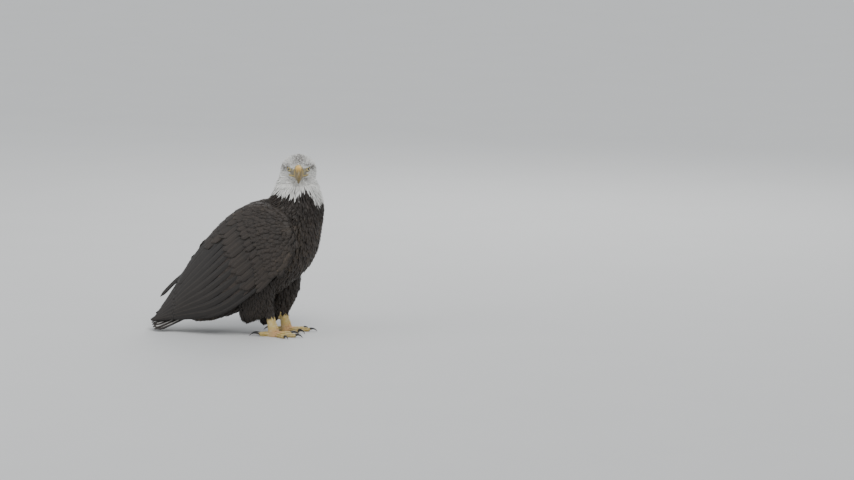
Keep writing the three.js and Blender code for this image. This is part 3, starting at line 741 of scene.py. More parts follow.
def nearest_parts(points):
    """Which part of the solid bird each point is nearest to."""
    verts, polys, owner, total = [], [], [], 0
    for name in FLESH:
        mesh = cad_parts[name].data
        verts.extend(points_of(mesh).tolist())
        polys.extend([[i + total for i in poly.vertices] for poly in mesh.polygons])
        owner.extend([name.split("_")[0]] * len(mesh.polygons))
        total = len(verts)
    tree = BVHTree.FromPolygons(verts, polys)
    owner = np.array(owner)
    found = [tree.find_nearest(p)[2] for p in points.tolist()]
    return owner[found]


def brow_rise(p):
    """How far the brows move the outer form at its points, in metres."""
    x, y, z = in_head(p).T
    line = curve_through(BROW)(np.linspace(0, 1, 40))
    gap = np.hypot(x[:, None] - line[:, 0], z[:, None] - line[:, 1])
    near, t = gap.min(axis=1), gap.argmin(axis=1) / 39
    height = BROW_HEIGHT * np.sin(np.pi * (0.15 + 0.75 * t)) * np.exp(-((near / BROW_SPREAD) ** 2))
    height = height * smooth(abs(y), 8, 16)
    way = unit(np.stack([0 * y + BROW_WAY[0], np.sign(y) * BROW_WAY[1], 0 * y + BROW_WAY[2]], -1))
    return height[:, None] * way @ HEAD_AXES.T / 1000


def build_form(sizes):
    """The outer form that the feather tips reach, and the skin under it."""
    points, quads = remeshed(*grown_copy(FLESH, 0.0005), sizes.voxel)
    points, quads = largest_shell(points, quads)
    edges = edges_of(quads)
    outer = relax(points, edges, 9, back=0.51)
    outer = outer + brow_rise(outer)
    normal = normals_of(outer, quads)
    form["part"] = nearest_parts(outer)
    depth = relax(coat_depth(outer, sizes), edges, 6)
    skin = relax(outer - normal * (depth + 0.0005)[:, None], edges, 2, back=0.5)
    flow = lie_of(outer, form["part"])
    soft = unit(relax(normal, edges, 8))
    flow = unit(flow - soft * (flow * soft).sum(1, keepdims=True))
    flow = unit(relax(flow, edges, 10))
    form.update(outer=outer, quads=quads, normal=soft, flow=flow, depth=depth, skin=skin)
    form["tree"] = BVHTree.FromPolygons(outer.tolist(), quads.tolist())
    form["centre"] = outer[quads].mean(1)
    print(f"form: {len(quads)} quads, {len(np.unique(form['part']))} parts")


def at_faces(name, index):
    return form[name][form["quads"][index]].mean(1)


def centres(index):
    return form["centre"][index]


def project(points):
    """The outer form's nearest point and face for each point."""
    found = [form["tree"].find_nearest(p) for p in points.tolist()]
    return np.array([hit[0] for hit in found]), np.array([hit[2] for hit in found])


def scatter(candidates, spacing, rng):
    """Picks candidates at random so that no two are nearer than the spacing at each."""
    cell = float(spacing.max())
    keys = np.floor(candidates / cell).astype(int)
    kept, cells = [], {}
    around = [(i, j, k) for i in (-1, 0, 1) for j in (-1, 0, 1) for k in (-1, 0, 1)]
    order = rng.permutation(len(candidates))
    points, gaps, keys = candidates.tolist(), (spacing**2).tolist(), keys.tolist()
    for n in order.tolist():
        x, y, z = points[n]
        gap = gaps[n]
        a, b, c = keys[n]
        free = True
        for i, j, k in around:
            for px, py, pz in cells.get((a + i, b + j, c + k), ()):
                if (px - x) ** 2 + (py - y) ** 2 + (pz - z) ** 2 < gap:
                    free = False
                    break
            if not free:
                break
        if free:
            kept.append(n)
            cells.setdefault((a, b, c), []).append((x, y, z))
    return np.array(kept, int)


def open_to_air(index):
    """Drops faces that look straight into another part of the bird, such as under the wings."""
    normal = at_faces("normal", index)
    start = centres(index) + normal * 0.001
    looks = zip(start.tolist(), normal.tolist())
    free = [form["tree"].ray_cast(p, n, AIR_REACH)[0] is None for p, n in looks]
    return index[np.array(free, bool)]


def lay_feathers(coat, index, rng, length, half, unwrap, kind="contour", rows=4, columns=2,
                 camber=0.25, swing=0.12, lift=0.0008, lowest=-0.5, thickness=0.0005):
    """Lays feathers rooted at the outer form's faces `index` along the flow, from skin to surface.

    The tips end between `lowest` and 1 times `lift` over the surface.
    """
    count = len(index)
    length = np.broadcast_to(length, count) * rng.uniform(0.85, 1.15, count)
    half = np.broadcast_to(half, count) * rng.uniform(0.88, 1.12, count)
    root = centres(index) + rng.normal(size=(count, 3)) * 0.0006
    turn = rng.normal(size=count) * swing
    where, face = root, index
    path, normals, depths = [where], [at_faces("normal", face)], [at_faces("depth", face)]
    step = (length / rows)[:, None]
    for _ in range(rows):
        normal, flow = at_faces("normal", face), at_faces("flow", face)
        side = np.cross(normal, flow)
        way = unit(flow * np.cos(turn)[:, None] + side * np.sin(turn)[:, None])
        where, face = project(where + way * step)
        path.append(where)
        normals.append(at_faces("normal", face))
        depths.append(at_faces("depth", face))
    path = np.stack(path, 1)
    normal = unit(np.stack(normals, 1))
    depth = np.stack(depths, 1)
    u = np.linspace(0, 1, rows + 1)
    sink = (depth + 0.0008) * (1 - u[None])
    tip = rng.uniform(lowest, 1, count)[:, None] * lift * u[None] ** 2
    path = path - normal * (sink - tip)[..., None]
    rounding = half * (0.2 if kind == "hackle" else 0.55)
    grid, grid_normal = path_grid(path, normal, half, kind, columns, camber, rounding, FRAY, rng)
    coat.add(grid, grid_normal, half, length, markings(root), unwrap(root), rng, thickness)


def spread_map(a, b, a_range, b_range):
    """Two unwrapped coordinates, scaled from their ranges into the bake map's square."""
    flat = np.stack([(a - a_range[0]) / (a_range[1] - a_range[0]),
                     (b - b_range[0]) / (b_range[1] - b_range[0])], -1)
    return 0.01 + (0.98 - PATCH) * np.clip(flat, 0, 1)


def head_map(p):
    """The head and neck unrolled round their upright axis."""
    x, y, z = drawing(p).T
    return spread_map(np.arctan2(y + 10, x - 190), z, (-np.pi, np.pi), (360, 575))


def body_map(p):
    """The trunk unrolled round its ribs."""
    t, share = spine_place(p)
    y = drawing(p)[:, 1]
    return spread_map(np.arctan2(y / 100, 1 - 2 * share), t, (-np.pi, np.pi), (0.1, 1))


def leg_map(p):
    """A thigh unrolled round its upright axis."""
    x, y, z = drawing(p).T
    return spread_map(np.arctan2(abs(y) - 55, x - 85), z, (-np.pi, np.pi), (25, 250))


def wing_map(s, v):
    return spread_map(s, v, (-0.05, 1), (-0.2, 1.2))


def draws(context, order):
    """One step's own random numbers, so that a change in another step leaves them as they are."""
    return np.random.default_rng(context.scene.eagle_sizes.seed + order)


# ---------------------------------------------------------------- feathers laid by the wing's own plan


def wing_feathers(coat, side, s0, v0, length, half, rng, kind="covert", rows=8, columns=6, slant=0.0,
                  sinks=(3.0, 0.4), tilt=0.0, camber=0.12, fray=0.05, quill=0.0, thickness=0.0005,
                  rise=1.0):
    """Lays feathers on the wing's surface from roots (s0, v0), `sinks` mm deep at root and tip."""
    s0, v0, length, half, slant, root_sink, tip_sink = (
        np.array(a, float)
        for a in np.broadcast_arrays(s0, v0, length, half, slant, sinks[0], sinks[1])
    )
    count = len(s0)
    u, c = np.linspace(0, 1, rows + 1), np.linspace(-1, 1, columns + 1)
    middle = s0 + 0.5 * length / 0.55
    reach = on_wing(side, middle + 0.01, v0) - on_wing(side, middle - 0.01, v0)
    per_s = np.linalg.norm(reach, axis=-1) / 0.02
    s = s0[:, None] + u * (length / per_s)[:, None]
    v = v0[:, None] + u * slant[:, None]
    per_v = wing_frame(side, s, v)[2]
    width = half[:, None] * breadth_at(kind, u)
    v = v[..., None] + (width / per_v)[..., None] * c
    tip = half[:, None, None] * u[None, :, None] ** 3
    jag = fray * tip * u[None, :, None] * rng.normal(size=(count, 1, columns + 1))
    back = ROUNDING * tip * c**2 + jag
    s = s[..., None] - back / per_s[:, None, None]
    grid, normal, _ = wing_frame(side, s, v)
    fall = (1 - u[None]) ** rise
    sink = tip_sink[:, None] + (root_sink - tip_sink)[:, None] * fall
    sink = sink[..., None] / 1000 - tilt / 1000 * c + camber * width[..., None] * c**2
    grid = grid - normal * sink[..., None]
    mark = markings(on_wing(side, s0, v0))
    coat.add(grid, normal, half, length, mark, wing_map(s0, v0), rng, thickness, quill)


def wing_rows(s_list, v_low, v_high, gap, side, rng):
    """Staggered rows of roots over part of the wing: arrays of s and v."""
    all_s, all_v = [], []
    for n, s in enumerate(s_list):
        reach = wing_frame(side, np.array([s]), np.array([0.5]))[2][0]
        step = gap / reach
        v = np.arange(v_low + step * (0.25 + 0.5 * (n % 2)), v_high, step)
        all_v.append(v + rng.normal(size=len(v)) * step / 8)
        all_s.append(s + rng.normal(size=len(v)) * 0.002)
    return np.concatenate(all_s), np.concatenate(all_v)


def reach_to(side, s0, v0, s1):
    """How far it is along the wing from s0 to s1."""
    t = s0[:, None] + (s1 - s0)[:, None] * np.linspace(0, 1, 24)
    line = on_wing(side, t, np.broadcast_to(v0[:, None], t.shape))
    return np.linalg.norm(np.diff(line, axis=1), axis=-1).sum(1)


# ---------------------------------------------------------------- shader building


class Nodes:
    """Builds nodes in one tree with short calls; every call gives back the output that matters."""

    def __init__(self, tree):
        self.tree = tree

    def new(self, kind, inputs=(), **settings):
        node = self.tree.nodes.new(kind)
        for name, value in settings.items():
            setattr(node, name, value)
        for name, value in dict(inputs).items():
            self.feed(node.inputs[name], value)
        return node

    def feed(self, socket, value):
        if isinstance(value, bpy.types.NodeSocket):
            self.tree.links.new(value, socket)
        else:
            socket.default_value = value

    def math(self, operation, *values):
        return self.new("ShaderNodeMath", enumerate(values), operation=operation).outputs[0]

    def plus(self, a, b):
        return self.math("ADD", a, b)

    def minus(self, a, b):
        return self.math("SUBTRACT", a, b)

    def times(self, a, b):
        return self.math("MULTIPLY", a, b)

    def about_zero(self, value, amount):
        """A value that lies round one half, moved to lie round zero and scaled."""
        return self.times(self.minus(value, 0.5), amount)

    def range(self, value, low, high, to_low=0.0, to_high=1.0):
        inputs = {0: value, 1: low, 2: high, 3: to_low, 4: to_high}
        node = self.new("ShaderNodeMapRange", inputs, interpolation_type="SMOOTHSTEP")
        return node.outputs[0]

    def mix(self, share, a, b, blend="MIX"):
        node = self.new("ShaderNodeMix", data_type="RGBA", blend_type=blend, clamp_result=True)
        self.feed(node.inputs[0], share)
        self.feed(node.inputs[6], a)
        self.feed(node.inputs[7], b)
        return node.outputs[2]

    def noise(self, vector, scale, detail=2.0, rough=0.5):
        inputs = {"Vector": vector, "Scale": scale, "Detail": detail, "Roughness": rough}
        return self.new("ShaderNodeTexNoise", inputs).outputs[0]

    def parts(self, name):
        """The three numbers of one of the piece's attributes."""
        vector = self.new("ShaderNodeAttribute", attribute_name=name).outputs["Vector"]
        return self.new("ShaderNodeSeparateXYZ", {0: vector}).outputs

    def place(self):
        return self.new("ShaderNodeTexCoord").outputs["Object"]


def group(name, inputs, outputs):
    """A new shader node group with named sockets, and its input and output nodes."""
    tree = bpy.data.node_groups.new(name, "ShaderNodeTree")
    for side, sockets in (("INPUT", inputs), ("OUTPUT", outputs)):
        for socket, (kind, value) in sockets.items():
            made = tree.interface.new_socket(socket, in_out=side, socket_type=f"NodeSocket{kind}")
            if value is not None:
                made.default_value = value
    return tree, tree.nodes.new("NodeGroupInput").outputs, tree.nodes.new("NodeGroupOutput").inputs


def feather_group():
    """Colour, height and roughness of a feather: its ground by the markings, paler edges, barbs with their
    painted shadows, painted shade towards the root, and shaft.
    """
    tree, given, out = group(
        "Feather Pattern",
        {
            "Dark": ("Color", (0.03, 0.02, 0.014, 1)),
            "Pale": ("Color", (0.2, 0.15, 0.1, 1)),
            "White": ("Color", (0.8, 0.79, 0.75, 1)),
            "Dusky": ("Color", (0.12, 0.1, 0.08, 1)),
            "Barbs": ("Float", 0.25),
            "Edge From": ("Float", 0.72),
            "Tone Range": ("Float", 0.35),
        },
        {"Colour": ("Color", None), "Height": ("Float", None), "Roughness": ("Float", None)},
    )
    n = Nodes(tree)
    u, v, chance = n.parts("lie")
    along, aside, breadth = n.parts("run")
    white, pale, dusky = n.parts("mark")
    place = n.place()
    cloud = n.noise(place, 55.0, 3.0, 0.6)
    fine = n.noise(place, 420.0, 2.0)
    # Barbs slant from the shaft to the edge.
    from_shaft = n.math("ABSOLUTE", aside)
    slant = n.minus(along, n.times(from_shaft, 1.3))
    wobble = n.times(fine, 2.4)
    barb = n.math("SINE", n.plus(n.times(slant, 5200.0), wobble))
    barb = n.math("MULTIPLY_ADD", barb, 0.5, 0.5)
    grain = n.mix(0.55, barb, fine)
    grain = n.new("ShaderNodeRGBToBW", {0: grain}).outputs[0]
    # The edge runs round the sides and the tip.
    side = n.math("ABSOLUTE", v)
    rim = n.math("MAXIMUM", n.times(side, n.range(u, 0.1, 0.4)), n.math("POWER", u, 3.5))
    rim = n.plus(rim, n.about_zero(fine, 0.16))
    edge = n.range(rim, given["Edge From"], 1.0)
    # Only some feathers are pale at the edge, in loose drifts.
    some = n.range(n.math("FRACT", n.times(chance, 7.0)), 0.3, 0.8, 0.1, 1.0)
    some = n.times(some, n.range(n.noise(place, 24.0), 0.36, 0.6, 0.25, 1.0))
    edge = n.times(n.times(edge, pale), some)
    # Markings break up along their borders.
    ragged = n.plus(white, n.about_zero(cloud, 0.5))
    whiteness = n.range(ragged, 0.38, 0.62)
    tone = n.about_zero(chance, given["Tone Range"])
    tone = n.plus(n.plus(tone, 1.0), n.about_zero(cloud, 0.5))
    # Painted shade: brown feathers are darkened towards their roots, where the next ones cover them.
    tone = n.times(tone, n.range(u, 0.0, 0.55, 0.62, 1.0))
    ground = n.mix(n.times(n.times(pale, some), 0.15), given["Dark"], given["Pale"])
    ground = n.mix(edge, ground, given["Pale"])
    grey = n.new("ShaderNodeCombineColor", {0: tone, 1: tone, 2: tone}).outputs[0]
    ground = n.mix(1.0, ground, grey, "MULTIPLY")
    # Dusky flecks on the white, including the painted shade under brows and bill that the marks carry.
    flecks = n.range(n.plus(n.times(chance, 0.5), n.times(cloud, 0.7)), 0.36, 0.6)
    shade = n.times(n.times(dusky, flecks), n.range(u, 0.25, 0.8))
    # Painted shade between the feathers: each white feather greys towards its root, where the next ones cover
    # it.
    milk = n.mix(n.range(u, 0.0, 0.5), n.mix(0.3, given["White"], given["Dusky"]), given["White"])
    milk = n.mix(shade, milk, given["Dusky"])
    colour = n.mix(whiteness, ground, milk)
    # The barbs' shadows, and the shaft where a feather is broad enough to show it.
    lines = n.range(grain, 0.2, 0.75, 1.0, 0.0)
    colour = n.mix(n.times(lines, given["Barbs"]), colour, n.mix(0.5, colour, (0, 0, 0, 1)))
    shaft = n.times(n.range(from_shaft, 0.0002, 0.0007, 1.0, 0.0), n.range(breadth, 0.007, 0.011))
    colour = n.mix(n.times(shaft, 0.18), colour, given["Pale"])
    n.feed(out["Colour"], colour)
    n.feed(out["Height"], n.plus(n.times(grain, 0.8), shaft))
    n.feed(out["Roughness"], n.range(grain, 0.0, 1.0, 0.72, 0.5))
    return tree


def scale_group():
    """Height and shade of leathery skin divided into small rounded scales."""
    tree, given, out = group(
        "Skin Scales",
        {"Scale": ("Float", 480.0), "Furrow": ("Float", 0.09)},
        {"Height": ("Float", None), "Furrows": ("Float", None), "Blotch": ("Float", None)},
    )
    n = Nodes(tree)
    place = n.place()
    inputs = {"Vector": place, "Scale": given["Scale"]}
    cells = n.new("ShaderNodeTexVoronoi", inputs, feature="DISTANCE_TO_EDGE")
    edge = n.range(cells.outputs["Distance"], 0.0, given["Furrow"])
    n.feed(out["Height"], n.plus(edge, n.times(n.noise(place, 900.0), 0.35)))
    n.feed(out["Furrows"], n.minus(1.0, edge))
    n.feed(out["Blotch"], n.noise(place, 70.0, 3.0, 0.6))
    return tree


def horn_group():
    """Growth lines, scuffs and blotches of horn, from the attribute that runs along it."""
    tree, given, out = group(
        "Horn",
        {"Lines": ("Float", 60.0), "Scuff": ("Float", 0.5)},
        {"Height": ("Float", None), "Roughness": ("Float", None), "Blotch": ("Float", None)},
    )
    n = Nodes(tree)
    along = n.parts("horn")[0]
    place = n.place()
    patch = n.noise(place, 110.0, 3.0, 0.6)
    fine = n.noise(place, 1400.0, 2.0)
    wave = n.math("SINE", n.plus(n.times(along, given["Lines"]), n.times(patch, 6.0)))
    height = n.plus(n.times(wave, 0.3), n.times(fine, given["Scuff"]))
    n.feed(out["Height"], height)
    n.feed(out["Roughness"], n.range(n.plus(patch, n.times(fine, 0.3)), 0.4, 0.9, 0.24, 0.5))
    n.feed(out["Blotch"], patch)
    return tree


def material(name, **constants):
    """A material with one Principled shader, its constant values set on its own sockets."""
    made = bpy.data.materials.new(name)
    made.use_nodes = True
    tree = made.node_tree
    shader = tree.nodes["Principled BSDF"]
    for socket, value in constants.items():
        shader.inputs[socket.replace("_", " ")].default_value = value
    return made, Nodes(tree), shader.inputs


def placed(n, tree, **inputs):
    node = n.new("ShaderNodeGroup")
    node.node_tree = tree
    for name, value in inputs.items():
        n.feed(node.inputs[name.replace("_", " ")], value)
    return node.outputs


def surfaced(n, inputs, colour, roughness, height, relief, strength):
    """Feeds a shader's colour and roughness, and its normal from a height that is `relief` metres deep."""
    n.feed(inputs["Base Color"], colour)
    n.feed(inputs["Roughness"], roughness)
    bump = n.new("ShaderNodeBump", {"Height": height, "Distance": relief, "Strength": strength})
    n.feed(inputs["Normal"], bump.outputs[0])


groups = {}


def shared(kind):
    if kind not in groups:
        groups[kind] = {"feather": feather_group, "scale": scale_group, "horn": horn_group}[kind]()
    return groups[kind]


def colours():
    """The colours that a user may change, each with its alpha."""
    settings = bpy.context.scene.eagle_colours
    return {name: (*getattr(settings, name), 1.0) for name in EagleColours.__annotations__}


# Fixed shades that the changeable colours are mixed with.
DOWN_SHADOW = (0.09, 0.07, 0.06, 1)
SCALE_FURROW = (0.2, 0.13, 0.05, 1)
PLATE_ROOT_DARK = (0.2, 0.14, 0.055, 1)
IRIS_STREAK = (0.35, 0.25, 0.08, 1)
IRIS_RIM = (0.02, 0.015, 0.012, 1)
PUPIL = (0.003, 0.003, 0.003, 1)
LID_DARK, LID_LIGHT, LID_FURROW = (0.09, 0.075, 0.05, 1), (0.2, 0.17, 0.1, 1), (0.03, 0.025, 0.02, 1)
CLAW_WORN, CLAW_ROOT = (0.05, 0.043, 0.036, 1), (0.09, 0.075, 0.05, 1)
FLOOR_SPECK = (0.5, 0.5, 0.49, 1)
SKY = (0.86, 0.9, 0.95, 1)


# Each plumage finish: its ground colour, how dark the barbs' painted shadows are, where the pale edge starts,
# the range of tone between feathers, the barbs' relief in metres and the sheen.
PLUMAGE = {
    "plumage": ("brown", 0.3, 0.72, 0.4, 0.0003, 0.04),
    "flight": ("flight", 0.45, 0.9, 0.3, 0.0002, 0.03),
    "tail": ("flight", 0.35, 0.88, 0.3, 0.0002, 0.03),
}


def coat_material(kind):
    """One of the plumage finishes, each made once."""
    name = f"eagle_{kind}"
    if name in bpy.data.materials:
        return bpy.data.materials[name]
    c = colours()
    ground, barbs, edge, tone, relief, sheen = PLUMAGE[kind]
    made, n, inputs = material(name, Sheen_Weight=sheen)
    out = placed(n, shared("feather"), Dark=c[ground], Pale=c["buff"], White=c["white"],
                 Dusky=c["dusky"], Barbs=barbs, Edge_From=edge, Tone_Range=tone)
    surfaced(n, inputs, out["Colour"], out["Roughness"], out["Height"], relief, 0.6)
    return made


# ---------------------------------------------------------------- sizes and colours that a user may change


def colour_property(name, description, value):
    return FloatVectorProperty(name=name, description=description, default=value, subtype="COLOR",
                               min=0, max=1)


def length_property(name, description, value):
    return FloatProperty(name=name, description=description, default=value, subtype="DISTANCE",
                         unit="LENGTH")


class EagleSizes(PropertyGroup):
    voxel: length_property("Skin detail", "Size of the skin's facets", 0.0028)
    body_depth: length_property("Body coat", "How deep the skin lies under the body's feathers", 0.0065)
    head_depth: length_property("Head coat", "How deep the skin lies under the head's feathers", 0.0028)
    wing_depth: length_property("Wing coat", "How deep the skin lies under the wing's feathers", 0.0034)
    seed: IntProperty(name="Seed", description="Chooses how the feathers vary", default=11)


class EagleColours(PropertyGroup):
    brown: colour_property("Brown", "Body feathers", (0.020, 0.0135, 0.0092))
    flight: colour_property("Flight brown", "Flight feathers", (0.0125, 0.0092, 0.0072))
    buff: colour_property("Buff", "Pale edges of the brown feathers", (0.175, 0.13, 0.088))
    white: colour_property("White", "Head, neck and tail", (0.83, 0.82, 0.78))
    # The dusky colour also paints the shadow under each brow and the shade under the bill.
    dusky: colour_property("Dusky", "Flecks on the white feathers", (0.1, 0.082, 0.066))
    bill: colour_property("Bill", "The bill's ridge", (0.74, 0.44, 0.085))
    # The bill shade is partly the horn's own dusky colour and partly painted shade on the bill's sides and
    # hook.
    horn: colour_property("Bill shade", "The bill's dusky sides and tip", (0.095, 0.078, 0.036))
    cere: colour_property("Cere", "Cere, gape and bare skin of the face", (0.56, 0.42, 0.11))
    iris: colour_property("Iris", "The eye's iris", (0.6, 0.5, 0.22))
    foot: colour_property("Foot", "Shank and toes", (0.56, 0.4, 0.1))
    dust: colour_property("Foot dust", "The pale dusty wash of shank and toes", (0.6, 0.49, 0.27))
    flush: colour_property("Foot flush", "The warm skin at the base of the toes", (0.56, 0.3, 0.15))
    claw: colour_property("Claw", "The claws' black horn", (0.012, 0.011, 0.011))
    floor: colour_property("Floor", "The studio floor", (0.62, 0.62, 0.61))


class EagleStage(PropertyGroup):
    azimuth: FloatProperty(name="Azimuth", description="Where the camera stands round the bird",
                           default=math.radians(12), subtype="ANGLE")
    elevation: FloatProperty(name="Elevation", description="How far the camera looks down",
                             default=math.radians(8), subtype="ANGLE")
    distance: length_property("Distance", "From the camera to the bird", 12.0)
    lens: FloatProperty(name="Lens", description="Focal length in millimetres", default=160.6)
    key: FloatProperty(name="Key light", description="Strength of the main light", default=1.9)
    fill: FloatProperty(name="Fill light", description="Power of the two side lights", default=60.0,
                        subtype="POWER")
    sky: FloatProperty(name="Sky", description="Strength of the even light from all sides", default=0.7)


# ---------------------------------------------------------------- skin


def skin_material():
    c = colours()
    made, n, inputs = material("eagle_skin", Specular_IOR_Level=0.4)
    white, _, dusky = n.parts("mark")
    face, foot, joint = n.parts("bare")
    scales = placed(n, shared("scale"), Scale=n.minus(980.0, n.times(foot, 500.0)))
    down = n.mix(white, c["brown"], c["white"])
    # The dusky marks bring their painted shade under brows and bill onto the skin too.
    down = n.mix(n.times(dusky, 0.7), down, c["dusky"])
    down = n.mix(n.range(scales["Blotch"], 0.3, 0.7, 0.0, 0.35), down, DOWN_SHADOW)
    lores = n.mix(n.range(scales["Blotch"], 0.26, 0.54), c["cere"], c["horn"])
    lores = n.mix(0.16, lores, c["white"])
    toes = n.mix(n.range(scales["Blotch"], 0.35, 0.65), c["foot"], c["dust"])
    toes = n.mix(n.times(joint, 0.75), toes, c["flush"])
    toes = n.mix(n.times(scales["Furrows"], 0.5), toes, SCALE_FURROW)
    colour = n.mix(foot, n.mix(face, down, lores), toes)
    roughness = n.range(scales["Blotch"], 0.2, 0.8, 0.48, 0.75)
    surfaced(n, inputs, colour, roughness, scales["Height"], 0.0005, 0.7)
    return made


def toe_joint(p):
    """The flushed skin at the base of the toes."""
    x, y, z = drawing(p).T
    near = np.zeros(len(p))
    for word, side in SIDES.items():
        gap = np.hypot(x - BALL_AT[0] - leg_shift(word) - 6, y - side * BALL_AT[1])
        near = np.maximum(near, (1 - smooth(gap, 14, 28)) * (1 - smooth(z, 18, 34)))
    return near


class EAGLE_OT_skin(Operator):
    """Makes the one skin that lies under the whole coat, and shows at face and feet"""

    bl_idname = "eagle.skin"
    bl_label = "Skin"

    def execute(self, context):
        build_form(context.scene.eagle_sizes)
        skin = form["skin"].copy()
        low = (foot_share(skin) > 0.5) & (skin[:, 2] < 0.0012)
        skin[low, 2] = 0.0
        skin[:, 2] = np.maximum(skin[:, 2], 0)
        piece = mesh_from("skin", skin, [form["quads"]])
        bare = np.stack([bare_face(form["outer"]), foot_share(form["outer"]), toe_joint(skin)], -1)
        give(piece, mark=markings(form["outer"]), bare=bare)
        finish_piece(piece, skin_material(), FLESH)
        return {"FINISHED"}


# ---------------------------------------------------------------- face


EYE_TURNS = np.linspace(0, 2 * np.pi, 64, endpoint=False)


def round_eye(side, off, radius):
    """Points `radius` mm from an eye's centre, at angles `off` from its gaze and each turn about it."""
    gaze = unit(np.array([GAZE[0], side * GAZE[1], GAZE[2]]))
    up = unit(np.array([0, 0, 1.0]) - gaze * gaze[2])
    ring = np.cos(EYE_TURNS)[:, None] * np.cross(up, gaze) + np.sin(EYE_TURNS)[:, None] * up
    centre = np.array([EYE_AT[0], side * EYE_AT[1], EYE_AT[2]])
    off, radius = off[..., None], radius[..., None]
    local = centre + radius * (np.cos(off) * gaze + np.sin(off) * ring)
    return on_head(*np.moveaxis(local, -1, 0))


def eye_material():
    c = colours()
    made, n, inputs = material("eagle_eye", Roughness=0.12, Coat_Weight=1.0, Coat_Roughness=0.03)
    x, y, off = n.parts("ring")
    # Streaks run out from the pupil, because only the direction from it counts.
    away = n.plus(off, 0.02)
    spoke = {0: n.math("DIVIDE", x, away), 1: n.math("DIVIDE", y, away)}
    streak = n.noise(n.new("ShaderNodeCombineXYZ", spoke).outputs[0], 9.0, 3.0)
    iris = n.mix(n.range(streak, 0.3, 0.7), c["iris"], n.mix(0.4, c["iris"], IRIS_STREAK))
    colour = n.mix(n.range(off, 0.7, 0.78), iris, IRIS_RIM)
    n.feed(inputs["Base Color"], n.mix(n.range(off, 0.33, 0.36, 1.0, 0.0), colour, PUPIL))
    return made


def lid_material():
    made, n, inputs = material("eagle_lid", Specular_IOR_Level=0.4)
    scales = placed(n, shared("scale"), Scale=900.0, Furrow=0.12)
    # The lids' greys are darker than a real lid's pale yellowish grey: partly their own colour, partly
    # painted shade from the brow.
    colour = n.mix(n.range(scales["Blotch"], 0.3, 0.7), LID_DARK, LID_LIGHT)
    colour = n.mix(n.times(scales["Furrows"], 0.5), colour, LID_FURROW)
    roughness = n.range(scales["Blotch"], 0.2, 0.8, 0.4, 0.65)
    surfaced(n, inputs, colour, roughness, scales["Height"], 0.0003, 0.6)
    return made


class EAGLE_OT_eyes(Operator):
    """Makes the eyes, each with the lids that ring it"""

    bl_idname = "eagle.eyes"
    bl_label = "Eyes"

    def execute(self, context):
        ball_finish, lid_finish = eye_material(), lid_material()
        turn = EYE_TURNS
        # The ball, whose clear front bulges a little, and on each point where it lies about the gaze.
        off = np.linspace(0.02, np.pi - 0.02, 56)[:, None] + 0 * turn
        radius = EYE_RADIUS + 0.5 * np.exp(-((off / 0.42) ** 2))
        ring = np.stack([np.cos(turn) * np.sin(off), np.sin(turn) * np.sin(off), off], -1)
        ring = np.vstack([ring.reshape(-1, 3), [(0, 0, 0), (0, 0, np.pi)]])
        for word, side in SIDES.items():
            ball = mesh_from(f"eye_ball_{word}", *loft(round_eye(side, off, radius)))
            give(ball, ring=ring)
            finish_piece(ball, ball_finish, [f"eye_{word}"])

            # The lids: a soft rim round an opening that the brow flattens from above.
            rise = np.sin(turn + side * LID_TILT)
            upper, lower = np.clip(rise, 0, 1) ** 1.5, np.clip(-rise, 0, 1)
            opening = np.radians(LID_OPENING - LID_UPPER * upper - LID_LOWER * lower)
            flat = np.vstack([
                round_eye(side, opening + math.radians(wide), np.full(len(turn), EYE_RADIUS + out))
                for wide, out in LID_SECTION
            ])
            quads = ring_quads(len(LID_SECTION) + 1, len(turn)) % len(flat)
            lids = mesh_from(f"lids_{word}", flat, outward(flat, [quads]))
            soften = lids.modifiers.new("soften", "SUBSURF")
            soften.levels = soften.render_levels = 1
            finish_piece(lids, lid_finish)
        return {"FINISHED"}


def bill_rings(stations, steps, sides, upper):
    """Rings along half of the bill, with how far along and round it each point is."""
    ridge = curve_through([s[:2] for s in stations])
    edge = curve_through([s[2:4] for s in stations])
    half = curve_through([s[4] for s in stations])
    t = np.linspace(0, 1, steps)[:, None]
    angle = (2 * np.pi * (np.arange(sides) + 0.5) / sides)[None]
    r, e, h = ridge(t[:, 0]), edge(t[:, 0]), half(t[:, 0])
    away = r - e
    height = np.linalg.norm(away, axis=1, keepdims=True)
    away = away / height
    rise = np.cos(angle) * height * np.where(np.cos(angle) > 0, 1, BILL_FLAT)
    side = np.sign(np.sin(angle)) * np.abs(np.sin(angle)) ** 0.8 * h
    x = e[:, :1] + away[:, :1] * rise
    z = e[:, 1:] + away[:, 1:] * rise
    if upper:
        # The cere is a little swollen, with a groove before the horn, and the nostrils lie in it.
        swell = 0.5 * smooth(-x, -40, -37) - 0.5 * np.exp(-(((x - 41.5) / 1.2) ** 2))
        nostril = np.exp(-((((x - 35) + 0.35 * (z - 2)) / 2.0) ** 2) - (((z - 2) / 3.4) ** 2))
        inward = 2.6 * nostril
        side = side * (1 + (swell - inward) / np.maximum(h, 3))
        z = z + swell * np.maximum(np.cos(angle), 0)
    # Its base is drawn in, so that it sinks into the face.
    drawn = 1 - 0.1 * (1 - smooth(t, 0, 0.075))
    side = side * drawn
    z = e[:, 1:] + (z - e[:, 1:]) * drawn
    along = np.broadcast_to(t, x.shape)
    around = np.broadcast_to(np.cos(angle), x.shape)
    return on_head(x, side, z), np.stack([along, around, x / 100], -1)


